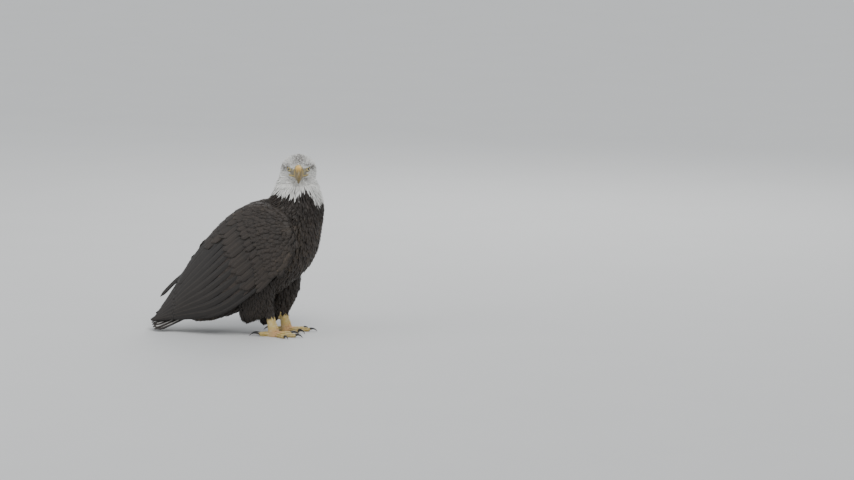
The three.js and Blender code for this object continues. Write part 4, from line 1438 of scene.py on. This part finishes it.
def bill_material():
    c = colours()
    made, n, inputs = material("eagle_bill", Coat_Weight=0.15, Coat_Roughness=0.25)
    along, around, x = n.parts("horn")
    horn = placed(n, shared("horn"), Lines=90.0, Scuff=0.35)
    # Orange-yellow along the ridge and clear yellow at the cere; the dusky sides and tip are partly the
    # horn's own marks, partly painted shade.
    # Painted shade on the sides turned from the light, mixed with the horn's own dusky colour.
    sides = n.times(n.range(around, 0.72, 0.95, 1.0, 0.0), n.range(x, 0.4, 0.5, 0.4, 0.95))
    shade = n.math("MAXIMUM", sides, n.range(along, 0.26, 0.56))
    shade = n.times(shade, n.range(horn["Blotch"], 0.25, 0.6, 0.82, 1.0))
    colour = n.mix(n.times(shade, 0.95), c["bill"], c["horn"])
    cere = n.mix(n.range(horn["Blotch"], 0.4, 0.65, 0.0, 0.4), c["cere"], c["bill"])
    colour = n.mix(n.range(x, 0.4, 0.425, 1.0, 0.0), colour, cere)
    surfaced(n, inputs, colour, horn["Roughness"], horn["Height"], 0.0002, 0.5)
    return made


class EAGLE_OT_bill(Operator):
    """Makes the two halves of the bill and the fleshy lip that runs from it under the eyes"""

    bl_idname = "eagle.bill"
    bl_label = "Bill"

    def execute(self, context):
        finish = bill_material()
        for name, stations, upper in (("upper", BILL_UPPER, True), ("lower", BILL_LOWER, False)):
            rings, horn = bill_rings(stations, steps=120, sides=96, upper=upper)
            points, faces = loft(rings)
            piece = mesh_from(f"bill_{name}_horn", points, faces)
            give(piece, horn=np.vstack([horn.reshape(-1, 3), horn[0].mean(0), horn[-1].mean(0)]))
            finish_piece(piece, finish, [f"bill_{name}"])
        t = np.linspace(0, 1, 40)
        where = curve_through(GAPE)(t)
        turn = np.linspace(0, 2 * np.pi, 16, endpoint=False)
        for word, side in SIDES.items():
            p = on_head(where[:, 0], side * where[:, 1], where[:, 2])
            fit, face = project(p)
            on_skin = smooth(-where[:, 0], -34, -30)[:, None]
            p = p * (1 - on_skin) + (fit + at_faces("normal", face) * 0.0003) * on_skin
            radius = GAPE_RADIUS / 1000 * np.sin(np.pi * (0.12 + 0.84 * t)) ** 0.6
            points, faces = loft(tube(p, radius, np.sin(turn), 0.75 * np.cos(turn)))
            piece = mesh_from(f"gape_{word}", points, faces)
            give(piece, horn=np.tile([[0.1, 1.0, 0.35]], (len(points), 1)))
            finish_piece(piece, finish)
        return {"FINISHED"}


# ---------------------------------------------------------------- feet


def toe_point(word, toe, distance, height):
    turn = math.radians(toe[0])
    distance, height = np.broadcast_arrays(distance, height)
    x = BALL_AT[0] + leg_shift(word) + distance * np.cos(turn)
    y = SIDES[word] * (BALL_AT[1] + distance * np.sin(turn))
    return metres(x, y, height)


def claw_material():
    c = colours()
    made, n, inputs = material("eagle_claw", Coat_Weight=0.3, Coat_Roughness=0.2)
    horn = placed(n, shared("horn"), Lines=70.0, Scuff=0.5)
    along = n.parts("horn")[0]
    colour = n.mix(n.range(horn["Blotch"], 0.45, 0.8), c["claw"], CLAW_WORN)
    colour = n.mix(n.range(along, 0.0, 0.16, 0.7, 0.0), colour, CLAW_ROOT)
    surfaced(n, inputs, colour, horn["Roughness"], horn["Height"], 0.0002, 0.5)
    return made


class EAGLE_OT_claws(Operator):
    """Makes the eight claws as smooth tapering arcs"""

    bl_idname = "eagle.claws"
    bl_label = "Claws"

    def execute(self, context):
        finish = claw_material()
        t = np.linspace(0, 1, 30)
        turn = np.linspace(0, 2 * np.pi, 24, endpoint=False)
        # The underside is hollowed along its middle, between two keels.
        tall = np.sin(turn) * (1 - 0.3 * np.exp(-(((turn - 1.5 * np.pi) / 0.45) ** 2)))
        for word in SIDES:
            for name, toe in TOES.items():
                tip, curve = toe[3], toe[5]
                reach = BALL_RADIUS - TOE_ROOT + toe[1] - CLAW_SEAT
                base = 0.95 * tip
                fall = math.acos(math.cos(CLAW_RISE) - (base - CLAW_TIP) / curve)
                angle = CLAW_RISE + (-fall - CLAW_RISE) * t
                forward = curve * (math.sin(CLAW_RISE) - np.sin(angle))
                lift = curve * (np.cos(angle) - math.cos(CLAW_RISE))
                line = toe_point(word, toe, reach + forward, base + lift)
                radius = (CLAW_BASE * tip + (CLAW_TIP - CLAW_BASE * tip) * t**1.15) / 1000
                rings = tube(line, radius, 0.8 * np.cos(turn), tall)
                rings[..., 2] = np.maximum(rings[..., 2], 0)
                points, faces = loft(rings)
                piece = mesh_from(f"talon_{name}_{word}", points, faces)
                along = np.concatenate([np.repeat(t, len(turn)), [0, 1]])
                give(piece, horn=np.stack([along, 0 * along, 0 * along], -1))
                finish_piece(piece, finish, [f"claw_{name}_{word}"])
        return {"FINISHED"}


def scute_material():
    c = colours()
    made, n, inputs = material("eagle_scutes", Specular_IOR_Level=0.45)
    u, _, chance = n.parts("lie")
    joint = n.parts("mark")[0]
    place = n.place()
    blotch = n.noise(place, 90.0, 3.0, 0.6)
    fine = n.noise(place, 1100.0, 2.0)
    tone = n.plus(n.times(chance, 0.22), n.times(blotch, 0.8))
    colour = n.mix(n.range(tone, 0.3, 0.75), c["foot"], c["dust"])
    colour = n.mix(n.times(joint, 0.6), colour, c["flush"])
    # Each plate is darker towards its root.
    root_darkening = n.times(n.range(u, 0.0, 0.35, 1.0, 0.0), 0.55)
    colour = n.mix(root_darkening, colour, PLATE_ROOT_DARK)
    surfaced(n, inputs, colour, n.range(blotch, 0.2, 0.8, 0.42, 0.65), fine, 0.0002, 0.5)
    return made


def scute_rows(coat, centre, forward, up, radius, angles, length, half, rng, rise=0.45, kind="scute"):
    """Plates that wrap a limb, each at a point of its line and an angle round it, with sizes in mm."""
    rows, columns = 3, 6
    side = np.cross(forward, up)
    u, c = np.linspace(0, 1, rows + 1), np.linspace(-1, 1, columns + 1)
    width = (half / radius)[:, None] * breadth_at(kind, u)
    turn = angles[:, None, None] + width[..., None] * c
    out = np.sin(turn)[..., None] * side[:, None, None] + np.cos(turn)[..., None] * up[:, None, None]
    arch = np.sin(np.pi * u)[None, :, None] * 0.75 * rise * (1 - c**2)
    r = radius[:, None, None] + (rise * u - 0.25)[None, :, None] + arch
    back = 0.18 * length[:, None, None] * (u**2)[None, :, None] * (c**2)
    along = length[:, None, None] * u[None, :, None] - back
    off = along[..., None] * forward[:, None, None] + r[..., None] * out
    grid = centre[:, None, None] + off / 1000
    grid[..., 2] = np.maximum(grid[..., 2], 0.0003)
    middle = grid[:, rows // 2, columns // 2]
    joint = toe_joint(middle)
    mark = np.stack([joint, joint, joint], -1)
    place = spread_map(middle[:, 0], middle[:, 1], (0.05, 0.26), (-0.12, 0.12))
    coat.add(grid, out, half / 1000, length / 1000, mark, place, rng, 0.0007)


def shank_rows(coat, word, at, angle, length, half, rng, **shape):
    """Plates or feathers round a shank, each `at` mm down it, at an angle from its front."""
    top, ball = shank_ends(word)
    down = unit(ball - top)
    ahead = unit(np.array([1.0, 0, 0]) - down * down[0])
    at, angle, length, half = (np.array(a, float) for a in np.broadcast_arrays(at, angle, length, half))
    share = at / np.linalg.norm(ball - top) * 2 / 3
    radius = TARSUS_RADIUS + (BALL_RADIUS - TARSUS_RADIUS) * smooth(share, 0.4, 0.75)
    centre = metres(*(top + at[:, None] * down).T)
    down, ahead = (np.tile(way, (len(at), 1)) for way in (down, ahead))
    scute_rows(coat, centre, down, ahead, radius, angle, length, half, rng, **shape)


class EAGLE_OT_scutes(Operator):
    """Covers shanks and toes with their horny plates and grains"""

    bl_idname = "eagle.scutes"
    bl_label = "Scutes"

    def execute(self, context):
        rng = draws(context, 5)
        coat = Coat()
        # Broad plates along each toe's top and a row of small ones on each side: where a row starts, the step
        # between plates, the angle round the toe and the half breadth as a share of the toe's radius.
        toe_rows = ((8, 4.3, 0.0, 0.92), (9, 3.3, 1.25, 0.3), (10, 3.3, -1.25, 0.3))
        for word in SIDES:
            for toe in TOES.values():
                reach = BALL_RADIUS - TOE_ROOT + toe[1]
                for first, step, angle, wide in toe_rows:
                    at = np.arange(first, reach - 1.5, step)
                    share = at / reach
                    radius = toe[2] + (toe[3] - toe[2]) * share
                    pads = 0.93 + 0.09 * np.abs(np.sin(np.pi * toe[4] * share))
                    centre = toe_point(word, toe, at, 0.9 * radius)
                    ahead = unit(toe_point(word, toe, at + 1, 0) - toe_point(word, toe, at, 0))
                    up = np.tile([[0.0, 0, 1]], (len(at), 1))
                    length = np.full(len(at), step * 1.35)
                    scute_rows(coat, centre, ahead, up, radius * pads, np.full(len(at), angle), length,
                               wide * radius, rng)
            shank_rows(coat, word, np.arange(42, 86, 6.4), 0.0, 8.6, 9.5, rng)
            for ring, angle in enumerate(np.arange(0.82, 2 * np.pi - 0.8, 0.24)):
                at = np.arange(42 + 2 * (ring % 2), 92, 4)
                shank_rows(coat, word, at, angle, 5.6, 2.3, rng, rise=0.25)
        coat.make("foot_scutes", scute_material())
        return {"FINISHED"}


# ---------------------------------------------------------------- plumage of head, neck and body


def faces_of(parts):
    return np.flatnonzero(np.isin(form["part"][form["quads"][:, 0]], parts))


def chosen(index, spacing, rng):
    """Scatters feather roots over faces at a spacing in metres, leaving out faces hidden under the wings."""
    spacing = np.broadcast_to(spacing, len(index))
    return open_to_air(index[scatter(centres(index), spacing, rng)])


def face_side(p):
    """Where the neck's front below the bill carries the head's small feathers in place of hackles."""
    return (in_head(p)[:, 0] > 12) & (drawing(p)[:, 2] > 488)


class EAGLE_OT_head_feathers(Operator):
    """Covers the head with small narrow feathers, shortest round the bill and the eyes"""

    bl_idname = "eagle.head_feathers"
    bl_label = "Head feathers"

    def execute(self, context):
        rng = draws(context, 0)
        index = faces_of(["head", "neck"])
        centre = centres(index)
        on_face = (form["part"][form["quads"][index, 0]] == "head") | face_side(centre)
        index = index[on_face & (bare_face(centre) < 0.6)]
        far = smooth(-in_head(centres(index))[:, 0], -26, 28)
        picked = chosen(index, 0.0018 + 0.0015 * far, rng)
        x, y, z = in_head(centres(picked)).T
        far = smooth(-x, -26, 28)
        low = smooth(-z, 18, 48)
        length = 0.0068 + 0.0105 * far + 0.011 * low
        half = 0.0012 + 0.001 * far + 0.0006 * low
        coat = Coat()
        # Close on the face, tousled over the brow and the crown's front, and pointed behind.
        front, curly = x > 6, (z > 20) & (abs(y) < 20)
        for part, kind, swing, lift, longer in (
            (front & ~curly, "contour", 0.16, 0.0005, 1.0),
            (front & curly, "hackle", 0.4, 0.0018, 1.15),
            (~front, "hackle", 0.16, 0.0008, 1.0),
        ):
            lay_feathers(coat, picked[part], rng, longer * length[part], half[part], head_map, kind,
                         swing=swing, lift=lift, thickness=0.0004)
        coat.make("head_feathers", coat_material("plumage"))
        return {"FINISHED"}


class EAGLE_OT_hackles(Operator):
    """Covers the neck with long pointed hackles, white down to a ragged collar"""

    bl_idname = "eagle.hackles"
    bl_label = "Hackles"

    def execute(self, context):
        rng = draws(context, 1)
        index = faces_of(["neck", "head", "trunk"])
        z = drawing(centres(index))[:, 2]
        index = index[(z > 395) & (z < 506) & (bare_face(centres(index)) < 0.5)]
        picked = chosen(index, 0.0046, rng)
        picked = picked[~face_side(centres(picked))]
        z = drawing(centres(picked))[:, 2]
        length = 0.030 + 0.010 * smooth(-z, -480, -440)
        coat = Coat()
        lay_feathers(coat, picked, rng, length, 0.0034, head_map, "hackle", rows=6, swing=0.16,
                     lift=0.003, camber=0.4)
        coat.make("neck_hackles", coat_material("plumage"))
        return {"FINISHED"}


class EAGLE_OT_body_feathers(Operator):
    """Covers breast, back, flanks and belly with contour feathers, longer and broader towards the tail"""

    bl_idname = "eagle.body_feathers"
    bl_label = "Body feathers"

    def execute(self, context):
        rng = draws(context, 2)
        index = faces_of(["trunk", "neck"])
        index = index[drawing(centres(index))[:, 2] < 440]
        share = spine_place(centres(index))[1]
        for name, part, spacing, length, half, widen, swing, camber in (
            ("breast", share > 0.5, 0.0068, 0.034, 0.0062, 0.004, 0.13, 0.3),
            ("mantle", share <= 0.5, 0.0088, 0.042, 0.009, 0.003, 0.1, 0.2),
        ):
            picked = chosen(index[part], spacing, rng)
            rear = smooth(-drawing(centres(picked))[:, 0], -60, 60)
            coat = Coat()
            lay_feathers(coat, picked, rng, length + 0.02 * rear, half + widen * rear, body_map, rows=5,
                         columns=4, swing=swing, lift=0.0016, camber=camber)
            coat.make(f"{name}_feathers", coat_material("plumage"))
        return {"FINISHED"}


class EAGLE_OT_trousers(Operator):
    """Covers the thighs with soft hanging feathers that end in a ragged hem over the shanks"""

    bl_idname = "eagle.trousers"
    bl_label = "Trousers"

    def execute(self, context):
        rng = draws(context, 3)
        for word, side in SIDES.items():
            index = faces_of(["thigh"])
            centre = centres(index)
            index = index[(side * centre[:, 1] > 0) & (foot_share(centre) < 0.1)]
            picked = chosen(index, 0.0064, rng)
            z = drawing(centres(picked))[:, 2]
            low = 1 - smooth(z, 60, 110)
            coat = Coat()
            upper, hem = picked[low < 0.5], picked[low >= 0.5]
            lay_feathers(coat, upper, rng, 0.036, 0.0062, leg_map, rows=5, columns=4, swing=0.13,
                         lift=0.0016, camber=0.3)
            lay_feathers(coat, hem, rng, 0.026, 0.0038, leg_map, "hackle", rows=5, swing=0.2, lift=0.004,
                         lowest=0.35, camber=0.3)
            # The hem hangs over the shank's top.
            round_shank = np.arange(0, 2 * np.pi, 0.32)
            n = len(round_shank)
            for at, stand in HEM:
                angle = round_shank + 0.1 * rng.normal(size=n)
                down, length = at + rng.uniform(-2, 2, n), rng.uniform(19, 27, n)
                shank_rows(coat, word, down, angle, length, 4.2, rng, rise=stand, kind="hackle")
            coat.make(f"trousers_{word}", coat_material("plumage"))
        return {"FINISHED"}


# ---------------------------------------------------------------- wings


class EAGLE_OT_wing_coverts(Operator):
    """Covers each folded wing with rows of coverts, and lays the scapulars over its upper edge"""

    bl_idname = "eagle.wing_coverts"
    bl_label = "Wing coverts"

    def execute(self, context):
        rng = draws(context, 4)
        for word, side in SIDES.items():
            coat = Coat()
            # The wrist's rounded front, where small feathers lie over the rim.
            index = faces_of(["wing"])
            centre = centres(index)
            near = on_wing(side, np.zeros(9), np.linspace(0, 1, 9))
            gap = np.min(np.linalg.norm(centre[:, None] - near[None], axis=2), axis=1)
            rim = chosen(index[(gap < 0.03) & (side * centre[:, 1] > 0)], 0.006, rng)
            lay_feathers(coat, rim, rng, 0.02, 0.005, head_map, lift=0.001)
            # Lesser coverts in close rows, then two rows of median coverts and one of greater coverts.
            s, v = wing_rows(np.arange(0.01, 0.22, 0.017), -0.05, 1.05, 0.0118, side, rng)
            grow = smooth(s, 0, 0.22)
            s = s + rng.normal(size=len(s)) * 0.004
            wing_feathers(coat, side, s, v, 0.025 + 0.012 * grow, 0.0085 + 0.002 * grow, rng, "contour",
                          rows=4, columns=4, slant=rng.normal(size=len(s)) * 0.012, sinks=(2.8, -0.1),
                          fray=0.1)
            s, v = wing_rows([0.205, 0.245], 0.05, 1.03, 0.016, side, rng)
            wing_feathers(coat, side, s, v, 0.046, 0.0115, rng, rows=6,
                          slant=rng.normal(size=len(s)) * 0.008, sinks=(3.6, 0.0), tilt=0.5)
            s, v = wing_rows([0.285, 0.30], 0.1, 1.0, 0.024, side, rng)
            wing_feathers(coat, side, s, v, 0.078, 0.0145, rng, slant=rng.normal(size=len(s)) * 0.006,
                          sinks=(4.2, 0.5), tilt=0.7, quill=0.0003)
            # The bastard wing and the primary coverts along the lower edge.
            s, v = 0.1 + 0.012 * np.arange(4), np.array([0.88, 0.92, 0.96, 1.0])
            wing_feathers(coat, side, s, v, 0.062, 0.009, rng, slant=0.012, sinks=(3, -0.3), tilt=0.5,
                          quill=0.0003)
            s, v = 0.2 + 0.006 * np.arange(7), np.linspace(0.84, 1.02, 7)
            wing_feathers(coat, side, s, v, 0.085, 0.0095, rng, slant=0.015, sinks=(3.5, 0.2), tilt=0.6,
                          quill=0.0003)
            coat.make(f"wing_coverts_{word}", coat_material("plumage"))
            coat = Coat()
            s, v = wing_rows(np.arange(0.0, 0.4, 0.042), -0.12, 0.34, 0.021, side, rng)
            grow = smooth(s, 0, 0.3)
            order = np.argsort(-s)
            s, v, grow = s[order], v[order], grow[order]
            wing_feathers(coat, side, s, v, 0.045 + 0.035 * grow, 0.0125 + 0.005 * grow, rng, rows=7,
                          slant=-0.01 + rng.normal(size=len(s)) * 0.02, sinks=(3.2, -1.6), tilt=0.3,
                          quill=0.0003, camber=0.16)
            coat.make(f"scapulars_{word}", coat_material("plumage"))
        return {"FINISHED"}


class EAGLE_OT_flight_feathers(Operator):
    """Makes the wings' secondaries, tertials and primaries, and the slipped feather across the back"""

    bl_idname = "eagle.flight_feathers"
    bl_label = "Flight feathers"

    def execute(self, context):
        rng = draws(context, 6)
        finish = coat_material("flight")
        for word, side in SIDES.items():
            coat = Coat()
            # Secondaries, the inner ones lying over the outer ones, with a second row that lines the wing.
            count = 13
            v = (np.arange(count) + 0.5) / count
            end = panel_end(v) + 0.01 + rng.uniform(-0.008, 0.008, count)
            s0 = np.full(count, 0.34)
            length = reach_to(side, s0, v, end)
            for depth, tilt in ((0.4, 1.1), (6.0, -0.6)):
                wing_feathers(coat, side, s0, v, length, 0.017, rng, "flight", rows=18, columns=8,
                              sinks=(4.4 + depth * 0.5, depth), tilt=tilt, quill=0.0005, rise=1.6,
                              slant=rng.normal(size=count) * 0.004, thickness=0.0007)
            # Tertials, the topmost.
            v = np.array([0.02, 0.09, 0.16, 0.23, 0.3])
            s0 = np.full(5, 0.33)
            length = reach_to(side, s0, v, np.array([0.57, 0.6, 0.62, 0.64, 0.655]))
            wing_feathers(coat, side, s0, v, length, 0.019, rng, "flight", rows=16, columns=8,
                          sinks=(3.6, -0.8), tilt=0.5, quill=0.0005, rise=1.4, thickness=0.0007)
            coat.make(f"secondaries_{word}", finish)
            coat = Coat()
            # Primaries, the longest at the lower edge, stepping down towards the back.
            count = 9
            v = (np.arange(count) + 0.5) / count
            end = PRIMARY_SHORTEST + (1 - PRIMARY_SHORTEST) * np.minimum(1, np.floor(v * 5) / 4)
            end = end - 0.012 * (np.arange(count) % 2)
            s0 = np.full(count, 0.5)
            length = reach_to(side, s0, v, end)
            sink = 0.5 + 0.3 * np.arange(count)[::-1]
            wing_feathers(coat, side, s0, v, length, 0.0125, rng, "flight", rows=24, columns=8,
                          sinks=(sink + 4.5, sink - 0.3), tilt=0.7, quill=0.0006, rise=2.0, thickness=0.0007)
            # The outermost primary's edge runs along the wing's lower border from under its coverts.
            v = np.array([0.9, 0.955, 1.01])
            s0 = np.full(3, 0.3)
            length = reach_to(side, s0, v, np.array([0.86, 0.83, 0.8]))
            wing_feathers(coat, side, s0, v, length, 0.009, rng, "flight", rows=24, columns=6,
                          sinks=(3.5, np.array([1.4, 1.8, 2.2])), tilt=0.4, quill=0.0005, thickness=0.0007)
            coat.make(f"primary_vanes_{word}", finish, [f"primaries_{word}"])
        root, tip = metres(*LOOSE_ROOT), metres(*LOOSE_TIP)
        u = np.linspace(0, 1, 17)
        level = unit(np.cross(tip - root, (0, 0, 1.0)))
        up = np.cross(level, unit(tip - root))
        up = up * np.cos(LOOSE_ROLL) - level * np.sin(LOOSE_ROLL)
        line = root + u[:, None] * (tip - root) + (0.004 + 0.004 * np.sin(np.pi * u))[:, None] * up
        half = np.array([0.0075])
        grid, normal = path_grid(line[None], np.tile(up, (1, 17, 1)), half, "flight", 6, 0.3,
                                 half * 0.6, 0.1, rng)
        coat = Coat()
        coat.add(grid, normal, half, np.array([np.linalg.norm(tip - root)]), np.array([[0.0, 0.2, 0.0]]),
                 np.array([[0.5, 0.5]]), rng, 0.0008, 0.0005)
        coat.make("loose_vane", finish, ["loose_feather_left"])
        return {"FINISHED"}


# ---------------------------------------------------------------- tail


class EAGLE_OT_tail(Operator):
    """Makes the twelve tail feathers and the coverts over and under their bases"""

    bl_idname = "eagle.tail"
    bl_label = "Tail"

    def execute(self, context):
        rng = draws(context, 7)
        coat = Coat()
        count, rows, columns = TAIL_FEATHERS, 30, 8
        rank = np.arange(count) - (count - 1) / 2
        outer = np.abs(rank) / (count / 2)
        half_v = 0.23
        centre = rank / (count / 2 - 0.5) * (1 - half_v)
        u, c = np.linspace(0, 1, rows + 1), np.linspace(-1, 1, columns + 1)
        shape = breadth_at("flight", u)
        end = 1 - TAIL_GRADUATION * centre**2 - 0.012
        reach = 0.02 + u[None] * (end - 0.02)[:, None]
        width = half_v * shape[None] * (0.55 + 0.45 * u[None] ** 0.6)
        v = centre[:, None, None] + width[..., None] * c
        jag = rng.normal(size=(count, 1, columns + 1)) * 0.003 * u[None, :, None] ** 5
        reach = reach[..., None] - 0.06 * (u**5)[None, :, None] * c**2 + jag
        # The middle pair lies on top, and each feather dips under its inner neighbour.
        outside = np.sign(rank)[:, None, None] * c
        lift = 1.9 - 3.6 * outer[:, None, None] + 0.5 * outside
        grid = on_tail(reach, v, lift)
        step = on_tail(reach, v, lift + 1.0) - grid
        m = 2 * columns
        along = np.broadcast_to(u[None, :, None], (count, rows + 1, m))
        ring_c = np.concatenate([c, c[columns - 1 : 0 : -1]])
        web = np.sign(rank)[:, None, None] * ring_c[None, None]
        edge = smooth(web, 0.34, 0.6) * (0.7 + 0.3 * outer[:, None, None])
        tip = smooth(along + rng.uniform(-0.06, 0.04, (count, 1, 1)), 0.84, 0.97)
        base = 1 - smooth(along, 0.1, 0.45)
        dark = np.clip(np.maximum(0.95 * edge + 0.2 * base, 0.9 * tip), 0, 1)
        white = 0.96 - dark
        mark = np.stack([white, 0.25 + 0 * white, 0.3 + 0.4 * dark], -1)
        mark = np.broadcast_to(mark, (count, rows + 1, m, 3))
        place = spread_map(centre, 0.5 + 0 * centre, (-1, 1), (0, 1))
        half, length = np.full(count, 0.016), np.full(count, 0.19)
        coat.add(grid, unit(step), half, length, mark, place, rng, 0.0007, 0.0006)
        coat.make("tail_vanes", coat_material("tail"), ["tail"])
        coat = Coat()
        u, c = np.linspace(0, 1, 9), np.linspace(-1, 1, 7)
        # Over the tail and then under it, in four rows each, with how pale they may be.
        for out, palest in ((1, (0.2, 0.75)), (-1, (0.1, 0.62))):
            for row, start in enumerate((0.0, 0.07, 0.14, 0.21)):
                v0 = np.linspace(-0.78, 0.78, 9) + 0.08 * (row % 2 - 0.5)
                n = len(v0)
                reach = start + u[None, :, None] * rng.uniform(0.24, 0.34, n)[:, None, None]
                reach = reach - 0.06 * (u**3)[None, :, None] * c**2
                v = v0[:, None, None] + 0.2 * breadth_at("contour", u)[None, :, None] * c
                lift = out * (3.0 + 2.2 * u[None, :, None] * (1 - row / 5) - 0.8 * c**2)
                grid = on_tail(reach, v, lift)
                normal = unit(on_tail(reach, v, lift + out) - grid)
                mark = np.stack(np.broadcast_arrays(rng.uniform(*palest, n), 0.9, 0.6), -1)
                place = spread_map(v0, start + 0.5 * (out > 0) + 0 * v0, (-1.1, 1.1), (0, 1))
                coat.add(grid, normal, np.full(n, 0.012), np.full(n, 0.05), mark, place, rng)
        coat.make("tail_coverts", coat_material("plumage"))
        return {"FINISHED"}


# ---------------------------------------------------------------- stage


class EAGLE_OT_stage(Operator):
    """Makes the studio floor, its soft lights and the camera"""

    bl_idname = "eagle.stage"
    bl_label = "Studio"

    def execute(self, context):
        scene, stage = context.scene, context.scene.eagle_stage
        points = FLOOR_HALF * np.array([(-1, -1, 0), (1, -1, 0), (1, 1, 0), (-1, 1, 0)], float)
        floor = mesh_from("studio_floor", points, [np.array([[0, 1, 2, 3]])])
        made, n, inputs = material("studio_floor", Roughness=0.85, Specular_IOR_Level=0.2)
        speck = n.noise(n.place(), 3.0, 2.0)
        tone = colours()["floor"]
        n.feed(inputs["Base Color"], n.mix(n.range(speck, 0.3, 0.7, 0.0, 0.06), tone, FLOOR_SPECK))
        floor.data.materials.append(made)
        floor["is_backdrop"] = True

        world = bpy.data.worlds.new("studio")
        world.use_nodes = True
        sky = world.node_tree.nodes["Background"].inputs
        sky[0].default_value = SKY
        sky[1].default_value = stage.sky
        scene.world = world
        for name, kind, power, size, place in (
            ("key_light", "SUN", stage.key, 0.6, (1.8, -3.0, 4.4)),
            ("fill_light", "AREA", stage.fill, 3.2, (-3.4, -2.4, 2.0)),
            ("back_light", "AREA", stage.fill, 2.4, (0.6, 3.4, 2.8)),
        ):
            lamp = bpy.data.lights.new(name, kind)
            lamp.energy = power
            if kind == "SUN":
                lamp.angle = size
            else:
                lamp.size = size
            light = bpy.data.objects.new(name, lamp)
            light.location = place
            towards = Vector((0, 0, 0.3)) - Vector(place)
            light.rotation_euler = towards.to_track_quat("-Z", "Y").to_euler()
            scene.collection.objects.link(light)

        turn, tilt = stage.azimuth, stage.elevation
        right = Vector((math.cos(turn), math.sin(turn), 0))
        level = Vector((-math.sin(turn), math.cos(turn), 0))
        ahead = level * math.cos(tilt) - Vector((0, 0, math.sin(tilt)))
        up = right.cross(ahead)
        aim = Vector((ORIGIN_X / 1000, 0, 0)) + right * AIM_RIGHT + up * AIM_UP
        data = bpy.data.cameras.new("camera")
        data.lens, data.sensor_width, data.clip_end = stage.lens, 36, 200
        camera = bpy.data.objects.new("camera", data)
        camera.location = aim - ahead * stage.distance
        camera.rotation_euler = ahead.to_track_quat("-Z", "Y").to_euler()
        scene.collection.objects.link(camera)
        scene.camera = camera
        return {"FINISHED"}


# ---------------------------------------------------------------- panel and start

STEPS = (
    EAGLE_OT_stage,
    EAGLE_OT_skin,
    EAGLE_OT_eyes,
    EAGLE_OT_bill,
    EAGLE_OT_claws,
    EAGLE_OT_scutes,
    EAGLE_OT_head_feathers,
    EAGLE_OT_hackles,
    EAGLE_OT_body_feathers,
    EAGLE_OT_trousers,
    EAGLE_OT_wing_coverts,
    EAGLE_OT_flight_feathers,
    EAGLE_OT_tail,
)
SETTINGS = {"eagle_sizes": EagleSizes, "eagle_colours": EagleColours, "eagle_stage": EagleStage}


class EAGLE_PT_panel(Panel):
    """Lists the bird's settings and the steps that make it"""

    bl_idname = "EAGLE_PT_panel"
    bl_label = "Standing Bald Eagle"
    bl_space_type = "VIEW_3D"
    bl_region_type = "UI"
    bl_category = "Eagle"

    def draw(self, context):
        for name, kind in SETTINGS.items():
            box = self.layout.box()
            for setting in kind.__annotations__:
                box.prop(getattr(context.scene, name), setting)
        for step in STEPS:
            self.layout.operator(step.bl_idname)


def register():
    for kind in (*SETTINGS.values(), *STEPS, EAGLE_PT_panel):
        bpy.utils.register_class(kind)
    for name, kind in SETTINGS.items():
        setattr(bpy.types.Scene, name, PointerProperty(type=kind))


def unregister():
    for name in SETTINGS:
        delattr(bpy.types.Scene, name)
    for kind in reversed((*SETTINGS.values(), *STEPS, EAGLE_PT_panel)):
        bpy.utils.unregister_class(kind)


def corners(box):
    return [[float(x) for x in corner] for corner in box]


def main():
    register()
    for step in STEPS:
        family, name = step.bl_idname.split(".")
        getattr(getattr(bpy.ops, family), name)()
    sizes = {"cad": corners(CAD_BOX), "visual": corners(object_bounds())}


if __name__ == "__main__":
    main()
